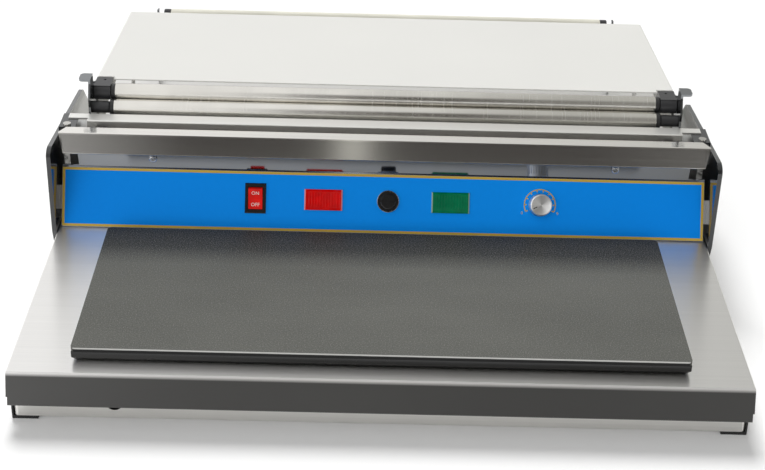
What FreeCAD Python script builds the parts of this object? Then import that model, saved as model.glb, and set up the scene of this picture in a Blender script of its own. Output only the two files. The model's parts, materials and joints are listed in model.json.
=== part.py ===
import FreeCAD, Part
import math
import os
import re
import Sketcher
from FreeCAD import Placement, Rotation, Vector

# A table-top film wrapping machine with a hot sealing plate.
# A stainless deck stands on a shallow pan. In front lies the hot plate, behind it a leaning
# control panel, above that the bar and the hot wire that cut the film, then a flat film rest,
# a pinch pair of rollers, a tilted top plate and a rear film roller.
#
# Every sub-part is drawn in the deck's own directions: X to the right, Y to the rear from the
# deck's front edge, Z up from the deck's top face. One placement then sets it down in the
# model frame, whose origin is on the floor under the middle of the machine.

DRIVING_SIZES = [
    # Deck and pan
    ("deck_width", 600.0, "deck over its side flanges"),
    ("deck_depth", 600.0, "deck top from front edge to rear edge"),
    ("deck_height", 46.0, "deck top above the floor"),
    ("deck_wall", 1.2, "sheet of the deck"),
    ("apron_length", 28.8, "leaning front apron along its slope"),
    ("apron_lean", 20.0, "apron's lean from upright, in degrees"),
    ("apron_lip", 6.0, "lip turned in under the apron"),
    ("side_flange", 20.0, "height of the deck's side flanges"),
    ("rear_flange", 14.0, "height of the deck's rear flange"),
    ("lead_hole", 7.0, "radius of the lead holes in the deck"),
    ("pan_inset", 3.0, "pan's side wall inside the deck's side"),
    ("pan_rise", 33.0, "height of the pan's walls"),
    ("pan_wall", 1.2, "sheet of the pan"),
    ("pan_corner", 4.0, "upright corner radius of the pan"),
    ("vent_length", 60.0, "length of a vent slot in the pan"),
    ("vent_width", 5.0, "width of a vent slot in the pan"),
    ("vent_pitch", 14.0, "distance from one vent slot to the next"),
    ("vent_count", 8.0, "number of vent slots"),
    ("foot_side", 20.0, "side of a square rubber corner foot"),
    ("foot_thick", 3.0, "rubber under the pan"),
    ("foot_skirt", 9.0, "height of the rubber skirt beside the pan"),
    ("foot_skirt_wall", 1.5, "thickness of the rubber skirt"),
    ("gland_reach", 12.0, "cable gland behind the deck's rear edge"),
    ("gland_radius", 9.5, "cable gland's outer radius"),
    ("gland_bore", 4.0, "radius of the gland's cable bore"),
    ("gland_inset", 85.0, "cable gland inside the deck's side"),
    ("gland_low", 29.0, "cable gland's axis below the deck top"),
    # Hot plate
    ("plate_side", 50.0, "hot plate with its cover inside the deck's side"),
    ("plate_depth", 198.0, "hot plate with its cover, front to rear"),
    ("plate_front", 14.0, "hot plate behind the deck's front edge"),
    ("plate_top", 14.0, "working face above the deck"),
    ("plate_thick", 6.0, "aluminium plate"),
    ("plate_rim", 3.0, "upright rim of the plate above its bevel"),
    ("plate_bevel", 3.2, "bevel that draws the plate in underneath"),
    ("plate_corner", 3.6, "upright corner radius of the plate"),
    ("cover_wall", 0.4, "non-stick cover sheet"),
    ("frame_inset", 4.0, "plate's foot frame inside its rim"),
    ("frame_wall", 1.2, "sheet of the foot frame"),
    ("mat_inset", 21.0, "heating mat's end inside the hot plate's end"),
    ("mat_margin", 20.0, "heating mat inside the hot plate, front and rear"),
    ("mat_thick", 1.6, "heating mat"),
    ("clamp_thick", 1.0, "steel sheet that holds the mat up"),
    ("stud_inset", 13.0, "plate studs inside the plate's edge"),
    ("stud_radius", 2.0, "radius of the plate studs"),
    ("stud_grip", 3.0, "thread of a stud inside the plate"),
    # Control panel
    ("panel_front", 234.0, "foot of the panel's face"),
    ("panel_lean", 28.4, "panel's lean from upright, in degrees"),
    ("panel_length", 57.5, "panel's face along its slope"),
    ("panel_side", 2.75, "panel's end inside the deck's side"),
    ("panel_wall", 1.2, "sheet of the panel"),
    ("panel_foot", 16.0, "panel's foot flange on the deck"),
    ("band_length", 16.5, "panel's upper flange along its slope"),
    ("band_lean", 15.0, "upper flange's forward lean, in degrees"),
    ("band_inset", 15.25, "upper flange's end inside the panel's end"),
    ("overlay_thick", 0.3, "coloured face sheet on the panel"),
    ("overlay_length", 54.7, "face sheet along the slope"),
    ("overlay_raise", 1.4, "face sheet above the panel's foot"),
    ("spacer_length", 22.0, "end spacers along the panel's slope"),
    ("spacer_depth", 3.0, "end spacers from front to rear"),
    ("control_line", 31.2, "controls' centre line up the slope"),
    # Controls
    ("switch_x", -118.6, "power switch from the middle"),
    ("switch_width", 19.4, "switch bezel, side to side"),
    ("switch_length", 27.8, "switch bezel along the slope"),
    ("switch_bezel", 2.0, "switch bezel in front of the panel"),
    ("switch_shell_width", 15.6, "switch housing behind the panel"),
    ("switch_shell_length", 23.4, "switch housing along the slope"),
    ("switch_depth", 19.0, "switch housing behind the panel"),
    ("rocker_width", 12.9, "rocker side to side"),
    ("rocker_length", 20.4, "rocker along the slope"),
    ("rocker_crest", 22.0, "rocker's crests above its pivot, in degrees"),
    ("rocker_pivot", 1.0, "rocker's pivot behind the face sheet"),
    ("rocker_throw", 12.0, "rocker's tilt to each side, in degrees"),
    ("rocker_gap", 0.35, "gap round the rocker"),
    ("lamp_width", 34.8, "lamp bezel side to side"),
    ("lamp_length", 19.2, "lamp bezel along the slope"),
    ("lamp_bezel", 2.4, "lamp bezel in front of the panel"),
    ("lamp_shell_width", 27.6, "lamp housing side to side"),
    ("lamp_shell_length", 12.6, "lamp housing along the slope"),
    ("lamp_depth", 21.0, "lamp housing behind the panel"),
    ("lens_width", 29.4, "lamp lens side to side"),
    ("lens_length", 13.8, "lamp lens along the slope"),
    ("lens_rise", 1.0, "lens in front of its bezel"),
    ("heat_lamp_x", -55.7, "red lamp from the middle"),
    ("cutter_lamp_x", 62.0, "green lamp from the middle"),
    ("fuse_x", 4.1, "fuse holder from the middle"),
    ("fuse_flange", 10.2, "radius of the fuse holder's flange"),
    ("fuse_flange_rise", 2.4, "fuse holder's flange before the panel"),
    ("fuse_shell", 6.2, "radius of the fuse holder's barrel"),
    ("fuse_depth", 32.0, "fuse holder's barrel behind the panel"),
    ("fuse_well", 4.6, "radius inside the fuse holder's barrel"),
    ("fuse_cap_radius", 7.2, "radius of the fuse cap"),
    ("fuse_cap_rise", 5.2, "fuse cap in front of the flange"),
    ("fuse_link_radius", 2.6, "radius of the glass fuse"),
    ("fuse_link_length", 20.0, "length of the glass fuse"),
    ("fuse_socket", 6.0, "depth of the socket behind the fuse cap"),
    ("fuse_travel", 36.0, "way out of the fuse cap"),
    ("dial_x", 145.0, "regulator knob from the middle"),
    ("knob_skirt", 10.8, "radius of the knob's skirt"),
    ("knob_radius", 8.8, "radius of the knob's grip"),
    ("knob_rise", 14.0, "height of the knob"),
    ("dial_sweep", 230.0, "regulator's full turn, in degrees"),
    ("knob_flutes", 12.0, "number of grip flutes on the knob"),
    ("shaft_radius", 3.0, "radius of the regulator's shaft"),
    ("bush_radius", 4.6, "radius of the regulator's threaded bush"),
    ("pot_radius", 11.5, "radius of the regulator's can"),
    ("pot_depth", 9.0, "depth of the regulator's can"),
    # Cutter
    ("bar_side", 2.0, "cutter bar's ridge inside the deck's side"),
    ("bar_taper", 4.0, "bar narrower at its lower edge, each side"),
    ("bar_mitre", 6.0, "bar narrower at its rear edge, each side"),
    ("bar_wall", 1.2, "sheet of the bar"),
    ("bar_before", 11.32, "bar's nose before the panel's upper fold"),
    ("bar_above", 17.01, "bar's nose above the panel's upper fold"),
    ("bar_face", 20.2, "bar's front face along its slope"),
    ("bar_lean", 15.8, "front face's lean from upright, in degrees"),
    ("bar_flange", 13.0, "bar's top flange"),
    ("bar_lip", 25.0, "bar's rear lip"),
    ("bar_return", 13.0, "bar's rear flange down behind the panel's"),
    ("insulator_side", 32.0, "insulating board inside the deck's side"),
    ("insulator_thick", 10.0, "insulating board from front to rear"),
    ("insulator_rise", 12.0, "height of the insulating board"),
    ("insulator_low", 11.0, "board's upper edge below the bar's ridge"),
    ("wire_radius", 0.8, "cutting wire"),
    ("wire_lift", 2.6, "cutting wire above the board"),
    ("post_radius", 3.0, "ceramic post round the wire"),
    ("post_length", 8.0, "ceramic post along the wire"),
    ("spring_radius", 2.6, "tension spring to its wire's middle"),
    ("spring_wire", 0.5, "radius of the spring's wire"),
    ("spring_pitch", 1.9, "pitch of the spring"),
    ("spring_turns", 5.0, "turns of the spring"),
    ("anchor_inset", 7.0, "spring anchors inside the deck's side"),
    # Film rest
    ("rest_gap", 12.5, "gap from the bar to the film rest"),
    ("rest_depth", 16.0, "film rest from front to rear"),
    ("rest_top", 87.4, "film rest above the deck"),
    ("rest_side", 24.0, "film rest without its tabs inside the deck's side"),
    ("rest_tab", 18.0, "length of an end tab"),
    ("rest_tab_depth", 10.5, "end tab from front to rear"),
    ("rest_lip", 7.0, "lips turned down along the film rest"),
    ("rest_wall", 1.2, "sheet of the film rest"),
    ("cover_foot", 14.0, "foot of the rear cover"),
    ("corner_wall", 1.5, "sheet of the rest brackets"),
    ("corner_reach", 15.0, "rest bracket's shelf under the tab"),
    ("corner_drop", 22.0, "rest bracket's leg down the side plate"),
    ("corner_depth", 20.0, "rest bracket from front to rear"),
    # Side plates
    ("side_wall", 1.5, "sheet of the side plates"),
    ("side_rim", 4.0, "rim turned out round a side plate"),
    ("side_front", 223.5, "upright front edge of a side plate"),
    ("side_rear", 424.0, "rear edge of a side plate at the deck"),
    ("side_peak", 395.0, "upper rear corner of a side plate"),
    ("side_top_front", 83.5, "front end of the side plate's top edge"),
    ("side_top_rear", 67.0, "rear end of the side plate's top edge"),
    ("side_knee", 44.0, "height of the bend in the rear edge"),
    ("side_low", 18.0, "side plate below the deck top"),
    ("side_corner", 7.0, "corner radius of a side plate"),
    # Rollers and their brackets
    ("roller_radius", 8.0, "radius of every film roller"),
    ("roller_side", 45.5, "pinch rollers' tubes inside the deck's side"),
    ("tube_wall", 1.2, "wall of the roller tubes"),
    ("plug_flange", 4.0, "flange of a roller plug"),
    ("plug_depth", 14.0, "roller plug inside its tube"),
    ("stub_radius", 3.0, "radius of the stub axles"),
    ("running_gap", 0.05, "radial clearance of running fits"),
    ("end_gap", 0.5, "clearance beside turning ends"),
    ("lower_y", 310.0, "lower roller's axis behind the front edge"),
    ("lower_z", 88.0, "lower roller's axis above the deck"),
    ("pinch_gap", 0.2, "gap between the two rollers"),
    ("pinch_angle", 40.2, "upper roller's place above the lower"),
    ("bearing_radius", 5.5, "radius of the lower bearings"),
    ("block_rear", 15.5, "sliding block behind its roller's axis"),
    ("block_nose", 7.6, "radius of the sliding block's front"),
    ("block_hole", 1.2, "radius of the grease hole in the block"),
    ("tongue_width", 6.0, "block's guide tongue in the slot"),
    ("slot_gap", 0.3, "clearance of the tongue in its slot"),
    ("lift_travel", 6.0, "upper roller's way up"),
    ("bracket_wall", 2.0, "sheet of the roller brackets"),
    ("bracket_front", 298.0, "front edge of a roller bracket"),
    ("bracket_rear", 354.0, "rear edge of a roller bracket"),
    ("bracket_foot", 12.0, "foot flange of a roller bracket"),
    ("finger_top", 118.0, "finger tab above the deck"),
    ("finger_reach", 9.0, "finger tab's outward reach"),
    ("finger_front", 304.0, "front of the finger tab"),
    ("finger_corner", 4.0, "corner radius of the finger tab"),
    # Top plate
    ("top_side", 25.2, "top plate inside the deck's side"),
    ("top_near", 332.5, "top plate's front edge"),
    ("top_height", 107.0, "top plate's front edge above the deck"),
    ("top_behind", 48.0, "top plate's rear edge before the deck's"),
    ("top_tilt", 5.1, "top plate's fall to the rear, in degrees"),
    ("top_wall", 1.2, "sheet of the top plate"),
    ("top_window", 60.0, "height of the windows in its side walls"),
    ("top_foot", 12.0, "foot flanges of the top plate"),
    # Rear roller
    ("rear_margin", 14.0, "rear roller's axis before the deck's rear edge"),
    ("rear_z", 70.0, "rear roller's axis above the deck"),
    ("rear_clear", 14.0, "rear roller's tube inside its brackets"),
    ("rear_cap", 7.5, "length of a rear roller cap"),
    ("rear_inset", 51.0, "rear bracket's inner face inside the deck's side"),
    ("rear_bracket_depth", 24.0, "rear bracket from front to rear"),
    # Electrics in the base
    ("board_width", 84.0, "regulator board side to side"),
    ("board_depth", 56.0, "regulator board front to rear"),
    ("board_thick", 1.6, "regulator board"),
    ("standoff", 8.0, "board's pillars on the pan"),
    ("core_width", 54.0, "transformer core side to side"),
    ("core_depth", 24.0, "transformer core front to rear"),
    ("core_rise", 33.0, "height of the transformer core"),
    ("board_side", 150.0, "middle of the regulator board inside the deck's side"),
    ("board_behind", 170.0, "middle of the regulator board before the deck's rear edge"),
    ("core_x", -20.0, "middle of the transformer from the machine's middle"),
    ("core_behind", 130.0, "middle of the transformer before the deck's rear edge"),
    ("block_ways", 4.0, "ways of the terminal block"),
    ("block_side", 140.0, "middle of the terminal block inside the deck's side"),
    ("block_behind", 60.0, "middle of the terminal block before the deck's rear edge"),
    ("way_pitch", 11.0, "pitch of the terminal block"),
    # Fasteners
    ("screw_radius", 1.9, "shank of the small screws"),
    ("screw_hole", 2.1, "hole round a small screw"),
    ("screw_head", 3.6, "radius of a screw's head"),
    ("screw_head_rise", 1.8, "height of a screw's head"),
]

DERIVED_PLACES = [
    ("apron_reach", "apron_length*sin(apron_lean)", "apron before the deck's front edge"),
    ("apron_drop", "apron_length*cos(apron_lean)", "apron's lower edge below the deck"),
    ("overall_depth", "apron_reach + deck_depth + gland_reach", "whole machine"),
    ("origin_y", "apron_reach - overall_depth/2", "deck's front edge in the model frame"),
    ("pan_floor", "foot_thick - deck_height", "underside of the pan"),
    ("pan_width", "deck_width - 2*pan_inset", "pan over its side walls"),
    ("pan_depth", "deck_depth - deck_wall - 1.8", "pan from front to rear"),
    ("gland_side", "deck_width/2 - gland_inset", "cable gland beside the middle"),
    ("plate_width", "deck_width - 2*plate_side", "hot plate with its cover, side to side"),
    ("mat_width", "plate_width - 2*mat_inset", "heating mat side to side"),
    ("mat_depth", "plate_depth - 2*mat_margin", "heating mat front to rear"),
    ("panel_width", "deck_width - 2*panel_side", "panel side to side"),
    ("band_width", "panel_width - 2*band_inset", "panel's upper flange side to side"),
    ("bar_width", "deck_width - 2*bar_side", "cutter bar side to side, at its ridge"),
    ("insulator_length", "deck_width - 2*insulator_side", "board that carries the cutting wire"),
    ("rest_width", "deck_width - 2*rest_side", "film rest between its end tabs"),
    ("roller_length", "deck_width - 2*roller_side", "pinch rollers' tubes"),
    ("top_width", "deck_width - 2*top_side", "top plate side to side"),
    ("top_run", "deck_depth - top_behind - top_near", "top plate from front to rear"),
    ("rear_y", "deck_depth - rear_margin", "rear roller's axis behind the front edge"),
    ("rear_span", "deck_width - 2*rear_inset", "between the rear brackets"),
    ("rear_length", "rear_span - 2*rear_clear", "rear roller's tube"),
    ("metal_top", "plate_top - cover_wall", "top of the aluminium plate"),
    ("metal_low", "metal_top - plate_thick", "underside of the aluminium plate"),
    ("mat_low", "metal_low - mat_thick", "underside of the heating mat"),
    ("clamp_low", "mat_low - clamp_thick", "underside of the clamp sheet"),
    ("plate_middle", "plate_front + plate_depth/2", "middle of the hot plate"),
    ("fold_y", "panel_front + panel_length*sin(panel_lean)", "panel's upper fold"),
    ("fold_z", "panel_length*cos(panel_lean)", "panel's upper fold"),
    ("band_y", "fold_y - band_length*sin(band_lean)", "upper flange's free edge"),
    ("band_z", "fold_z + band_length*cos(band_lean)", "upper flange's free edge"),
    ("nose_y", "fold_y - bar_before", "bar's lower edge"),
    ("nose_z", "fold_z + bar_above", "bar's lower edge"),
    ("ridge_y", "nose_y + bar_face*sin(bar_lean)", "bar's front ridge"),
    ("ridge_z", "nose_z + bar_face*cos(bar_lean)", "bar's front ridge"),
    ("lip_y", "ridge_y + bar_flange", "rear face of the bar's lip"),
    ("board_top", "ridge_z - insulator_low", "top of the insulating board"),
    ("wire_y", "lip_y + insulator_thick/2", "cutting wire"),
    ("wire_z", "board_top + wire_lift", "cutting wire"),
    ("spring_start", "insulator_length/2 + 3", "inner end of a spring"),
    ("rest_front", "lip_y + rest_gap", "front edge of the film rest"),
    ("rest_rear", "rest_front + rest_depth", "rear edge of the film rest"),
    ("rest_seat", "rest_top - rest_lip", "top of the rear cover under the film rest"),
    ("roller_pitch", "2*roller_radius + pinch_gap", "distance between the rollers' axes"),
    ("upper_y", "lower_y + roller_pitch*cos(pinch_angle)", "upper roller's axis"),
    ("upper_z", "lower_z + roller_pitch*sin(pinch_angle)", "upper roller's axis"),
    ("bracket_side", "top_width/2", "inner face of a roller bracket"),
    ("plug_end", "roller_length/2 + plug_flange", "outer face of a pinch roller's plug"),
    ("slot_low", "upper_z - tongue_width/2 - slot_gap", "bottom of the bracket's slot"),
    ("top_far", "top_near + top_run", "top plate's rear edge"),
    ("top_far_height", "top_height - top_run*tan(top_tilt)", "top plate's rear edge"),
    ("rear_side", "rear_span/2", "inner face of a rear bracket"),
    ("rear_top", "rear_z + 5", "top of a rear bracket"),
]

SHEET_OF = {row[0]: "Sizes" for row in DRIVING_SIZES}
SHEET_OF.update({row[0]: "Places" for row in DERIVED_PLACES})

AXIS_X = Vector(1, 0, 0)
AXIS_Y = Vector(0, 1, 0)
AXIS_Z = Vector(0, 0, 1)

doc = FreeCAD.newDocument("FilmWrapper")
parts = []


# Helpers for the sheets

def cells(formula):
    """Turn the size names in a formula into references to their sheet."""
    def cell(word):
        name = word.group(0)
        return f"{SHEET_OF[name]}.{name}" if name in SHEET_OF else name
    return re.sub(r"[A-Za-z_][A-Za-z0-9_]*", cell, str(formula))


def fill_sheet(name, rows):
    """Make a sheet with one named cell per row."""
    sheet = doc.addObject("Spreadsheet::Sheet", name)
    for row, (alias, content, note) in enumerate(rows, start=1):
        sheet.set(f"A{row}", alias)
        sheet.set(f"B{row}", content)
        sheet.setAlias(f"B{row}", alias)
        sheet.set(f"C{row}", note)
    return sheet


sizes = fill_sheet("Sizes", [(alias, str(value), note) for alias, value, note in DRIVING_SIZES])
places = fill_sheet("Places", [(alias, "=" + cells(rule), note) for alias, rule, note in DERIVED_PLACES])
doc.recompute()


def size(alias):
    """Read one value from its sheet, as a plain number."""
    sheet = sizes if SHEET_OF[alias] == "Sizes" else places
    return float(sheet.get(alias))


def bind(thing, name, formula):
    """Bind one property of an object to a formula."""
    thing.setExpression(name, cells(formula))


# Helpers for bodies and sketches

def new_body(label):
    """Make an empty body."""
    made = doc.addObject("PartDesign::Body", label)
    made.Label = label
    return made


def plane_of(owner, role):
    """Find one of a body's own origin planes, such as XY_Plane."""
    return [feature for feature in owner.Origin.OriginFeatures if feature.Role == role][0]


def sketch(owner, role, height="0"):
    """Start a sketch on a body's origin plane, raised along the plane's normal."""
    drawing = owner.newObject("Sketcher::SketchObject", owner.Name + "_sketch")
    drawing.AttachmentSupport = [(plane_of(owner, role), "")]
    drawing.MapMode = "FlatFace"
    bind(drawing, "AttachmentOffset.Base.z", height)
    return drawing


def fix_point(drawing, edge, end, across, up):
    """Hold the end of an edge at two distances from the sketch's origin."""
    for kind, formula in (("DistanceX", across), ("DistanceY", up)):
        index = drawing.addConstraint(Sketcher.Constraint(kind, -1, 1, edge, end, 1.0))
        name = f"{kind[-1].lower()}{index}"
        drawing.renameConstraint(index, name)
        bind(drawing, f"Constraints.{name}", formula)


def draw_edges(drawing, points, closed=True):
    """Draw straight edges through points, each a pair of formulas from the origin."""
    count = len(points)
    first = drawing.GeometryCount
    start = [Vector(10 * math.cos(2 * math.pi * step / count),
                    10 * math.sin(2 * math.pi * step / count), 0) for step in range(count)]
    edges = count if closed else count - 1
    for step in range(edges):
        drawing.addGeometry(Part.LineSegment(start[step], start[(step + 1) % count]), False)
    for step in range(edges if closed else edges - 1):
        drawing.addConstraint(Sketcher.Constraint("Coincident", first + step, 2,
                                                  first + (step + 1) % count, 1))
    for step in range(edges):
        fix_point(drawing, first + step, 1, *points[step])
    if not closed:
        fix_point(drawing, first + edges - 1, 2, *points[-1])


def draw_box(drawing, left, low, right, high):
    """Draw an upright rectangle between four formulas."""
    draw_edges(drawing, [(left, low), (right, low), (right, high), (left, high)])


def draw_circle(drawing, across, up, radius):
    """Draw a circle."""
    index = drawing.addGeometry(Part.Circle(Vector(1, 1, 0), AXIS_Z, 1.0), False)
    fix_point(drawing, index, 3, across, up)
    held = drawing.addConstraint(Sketcher.Constraint("Radius", index, 1.0))
    drawing.renameConstraint(held, f"r{held}")
    bind(drawing, f"Constraints.r{held}", radius)


def pad(owner, drawing, length, both=False, back=False):
    """Raise a sketch into a solid, to one side or evenly to both."""
    feature = owner.newObject("PartDesign::Pad", owner.Name + "_pad")
    feature.Profile = drawing
    feature.SideType = "Symmetric" if both else "One side"
    feature.Reversed = back
    bind(feature, "Length", length)
    doc.recompute()
    return feature


def pocket(owner, drawing, depth=None, both=True, back=False):
    """Cut a sketch out of a body and make sure that something was cut."""
    before = owner.Shape.Volume
    feature = owner.newObject("PartDesign::Pocket", owner.Name + "_pocket")
    feature.Profile = drawing
    feature.SideType = "Symmetric" if both else "One side"
    feature.Reversed = back
    if depth is None:
        feature.Type = "ThroughAll"
    else:
        bind(feature, "Length", depth)
    doc.recompute()
    if not owner.Shape.Volume < before - 1e-6:
        raise RuntimeError(f"a pocket of {owner.Label} cuts nothing")
    return feature


def revolve(owner, drawing, axis):
    """Turn a sketch all the way round its own H_Axis or V_Axis."""
    feature = owner.newObject("PartDesign::Revolution", owner.Name + "_turned")
    feature.Profile = drawing
    feature.ReferenceAxis = (drawing, [axis])
    feature.Angle = 360.0
    doc.recompute()
    return feature


def runs_along(edge, axis):
    """Say whether an edge is straight and parallel to an axis."""
    if edge.Curve.TypeId != "Part::GeomLine":
        return False
    return abs(edge.tangentAt(edge.FirstParameter).dot(axis)) > 0.9999


def middle_of(edge):
    """Give the middle point of an edge."""
    return edge.valueAt((edge.FirstParameter + edge.LastParameter) / 2)


def dress(owner, kind, base, radius, wanted):
    """Fillet or chamfer the edges of a feature that pass a test."""
    names = [f"Edge{index}" for index, edge in enumerate(base.Shape.Edges, start=1) if wanted(edge)]
    feature = owner.newObject(f"PartDesign::{kind}", owner.Name + "_" + kind.lower())
    feature.Base = (base, names)
    bind(feature, "Radius" if kind == "Fillet" else "Size", radius)
    doc.recompute()
    return feature


def hollow(owner, base, wall, opened):
    """Hollow a feature to an even wall, leaving out the faces that pass a test."""
    names = [f"Face{index}" for index, face in enumerate(base.Shape.Faces, start=1) if opened(face)]
    feature = owner.newObject("PartDesign::Thickness", owner.Name + "_hollow")
    feature.Base = (base, names)
    feature.Reversed = True
    bind(feature, "Value", wall)
    doc.recompute()
    return feature


# Helpers for folded sheet, copies and placing

SIDE_VIEW = Rotation(AXIS_Y, AXIS_Z, AXIS_X, "XYZ")
REAR_VIEW = Rotation(-AXIS_X, AXIS_Z, AXIS_Y, "XYZ")


def folded_sheet(label, points, wall, length, view=SIDE_VIEW):
    """Fold a strip of sheet along a line of points and extrude it evenly to both sides.

    The points run along the inner faces with the sheet's outer side on the left, so each
    fold is square inside and round outside.
    """
    line = doc.addObject("Sketcher::SketchObject", label + "_line")
    line.Placement = Placement(Vector(), view)
    draw_edges(line, points, closed=False)
    skin = doc.addObject("Part::Offset2D", label + "_skin")
    skin.Source = line
    skin.Mode = "Skin"
    skin.Join = "Arc"
    skin.Fill = True
    bind(skin, "Value", f"-{wall}")
    strip = doc.addObject("Part::Extrusion", label + "_strip")
    strip.Base = skin
    strip.DirMode = "Custom"
    strip.Dir = AXIS_X if view == SIDE_VIEW else AXIS_Y
    strip.Symmetric = True
    strip.Solid = True
    bind(strip, "LengthFwd", length)
    doc.recompute()
    return strip


def body_from(label, strip):
    """Start a body from a folded strip, so that it can be cut and drilled."""
    made = new_body(label)
    made.BaseFeature = strip
    doc.recompute()
    return made


def place(thing, across="0", back="0", up="0", turn=None, about=AXIS_X):
    """Set an object down at formulas measured in the deck's own directions."""
    if turn is not None:
        thing.Placement = Placement(Vector(), Rotation(about, 1.0))
        bind(thing, "Placement.Rotation.Angle", turn)
    bind(thing, "Placement.Base.x", across)
    bind(thing, "Placement.Base.y", f"origin_y + {back}")
    bind(thing, "Placement.Base.z", f"deck_height + {up}")


def keep(thing, label):
    """Name a finished sub-part and put it on the list."""
    thing.Label = label
    parts.append(thing)
    return thing


def mirrored(source, label):
    """Make the left-hand twin of a right-hand sub-part."""
    twin = doc.addObject("Part::Mirroring", label)
    twin.Source = source
    twin.Normal = AXIS_X
    doc.recompute()
    return keep(twin, label)


def gathered(label, solids):
    """Keep several separate solids as one sub-part, drawn in the deck's directions."""
    group = doc.addObject("Part::Feature", label)
    group.Shape = Part.makeCompound(solids)
    group.Placement = Placement(Vector(0, size("origin_y"), size("deck_height")), Rotation())
    return keep(group, label)


def place_on_panel(thing, across, up_slope="control_line", out="0"):
    """Set an object on the panel's face: its Y runs up the slope and its Z points outwards."""
    back = f"panel_front + ({up_slope})*sin(panel_lean) - ({out})*cos(panel_lean)"
    rise = f"({up_slope})*cos(panel_lean) + ({out})*sin(panel_lean)"
    place(thing, across, back, rise, turn="90 - panel_lean")


def screw(length, spot, direction):
    """Make a pan head screw whose head seats at a spot and whose shank runs along a direction."""
    axis = Vector(direction).normalize()
    head = Part.makeCylinder(size("screw_head"), size("screw_head_rise"),
                             spot - axis * size("screw_head_rise"), axis)
    shank = Part.makeCylinder(size("screw_radius"), length, spot, axis)
    return head.fuse(shank).removeSplitter()


def both_sides(spot):
    """Give a spot and its mirror image across the middle of the machine."""
    return [spot, Vector(-spot.x, spot.y, spot.z)]


# Deck, pan and feet

def make_base_deck():
    """The folded deck: apron and rear flange one way, side flanges the other."""
    inner_front = "deck_wall*(1 - sin(apron_lean))/cos(apron_lean)"
    foot_back = f"{inner_front} - (apron_length - 2*deck_wall)*sin(apron_lean)"
    foot_low = "-deck_wall - (apron_length - 2*deck_wall)*cos(apron_lean)"
    length_way = folded_sheet("deck_run", [
        (f"{foot_back} + apron_lip", foot_low),
        (foot_back, foot_low),
        (inner_front, "-deck_wall"),
        ("deck_depth - deck_wall", "-deck_wall"),
        ("deck_depth - deck_wall", "-rear_flange"),
    ], "deck_wall", "deck_width - 2*deck_wall")
    side_way = folded_sheet("deck_sides", [
        ("deck_wall - deck_width/2", "-side_flange"),
        ("deck_wall - deck_width/2", "-deck_wall"),
        ("deck_width/2 - deck_wall", "-deck_wall"),
        ("deck_width/2 - deck_wall", "-side_flange"),
    ], "deck_wall", "deck_depth + 2*apron_length", REAR_VIEW)
    bind(side_way, "Placement.Base.y", "deck_depth/2")
    both = doc.addObject("Part::Fuse", "deck_blank")
    both.Base = length_way
    both.Tool = side_way
    both.Refine = True
    doc.recompute()
    deck = body_from("base_deck", both)
    ends = sketch(deck, "YZ_Plane")
    far = "3*apron_length"
    draw_edges(ends, [("0", "deck_wall"), ("0", "0"), ("-2*apron_reach", "-2*apron_drop"),
                      (f"-{far}", "-2*apron_drop"), (f"-{far}", "deck_wall")])
    draw_box(ends, "deck_depth", "-2*side_flange", f"deck_depth + {far}", "deck_wall")
    pocket(deck, ends)
    holes = sketch(deck, "XY_Plane")
    for side in ("", "-"):
        draw_circle(holes, f"{side}90", "plate_middle", "lead_hole")
        draw_circle(holes, f"{side}90", "panel_front + panel_foot + 2*lead_hole", "lead_hole")
        for edge in ("plate_front + stud_inset", "plate_front + plate_depth - stud_inset"):
            draw_circle(holes, f"{side}(plate_width/2 - stud_inset)", edge, "stud_radius + 0.2")
    pocket(deck, holes, "4*deck_wall")
    sides = sketch(deck, "YZ_Plane")
    for spot in pan_screw_places():
        draw_circle(sides, spot, "-0.8*side_flange", "screw_hole")
    pocket(deck, sides)
    place(deck)
    return keep(deck, "base_deck")


def pan_screw_places():
    """The screws between the deck's side flange and the pan, from front to rear."""
    return ["60", "deck_depth - 60"]


def make_base_pan():
    """The pan that closes the base, with vent slots, a gland hole and screw holes."""
    pan = new_body("base_pan")
    floor = sketch(pan, "XY_Plane", "pan_floor")
    draw_box(floor, "-pan_width/2", "0", "pan_width/2", "pan_depth")
    block = pad(pan, floor, "pan_rise")
    rounded = dress(pan, "Fillet", block, "pan_corner", lambda edge: runs_along(edge, AXIS_Z))
    top = size("pan_floor") + size("pan_rise")
    hollow(pan, rounded, "pan_wall", lambda face: abs(face.CenterOfMass.z - top) < 0.01)
    vents = sketch(pan, "XY_Plane", "pan_floor")
    for step in range(int(size("vent_count"))):
        low = f"deck_depth/2 + vent_pitch*{step - (size('vent_count') - 1) / 2}"
        draw_box(vents, "-vent_length/2", low, "vent_length/2", f"{low} + vent_width")
    pocket(pan, vents, "4*pan_wall")
    inlet = sketch(pan, "XZ_Plane")
    draw_circle(inlet, "-gland_side", "-gland_low", "0.7*gland_radius")
    pocket(pan, inlet)
    sides = sketch(pan, "YZ_Plane")
    for spot in pan_screw_places():
        draw_circle(sides, spot, "-0.8*side_flange", "screw_hole")
    pocket(pan, sides)
    place(pan)
    return keep(pan, "base_pan")


def make_corner_foot():
    """One rubber corner foot, with a skirt beside the pan."""
    foot = new_body("corner_foot")
    section = sketch(foot, "XZ_Plane")
    outer = "foot_side + foot_skirt_wall"
    draw_edges(section, [("0", "0"), (outer, "0"), (outer, "foot_thick + foot_skirt"),
                         ("foot_side", "foot_thick + foot_skirt"), ("foot_side", "foot_thick"),
                         ("0", "foot_thick")])
    block = pad(foot, section, "foot_side", back=True)
    dress(foot, "Fillet", block, "foot_skirt_wall/2",
          lambda edge: runs_along(edge, AXIS_Y) and middle_of(edge).z < 0.01 or
          runs_along(edge, AXIS_Z) and middle_of(edge).x > size("foot_side") + 1)
    doc.recompute()
    return foot


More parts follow.
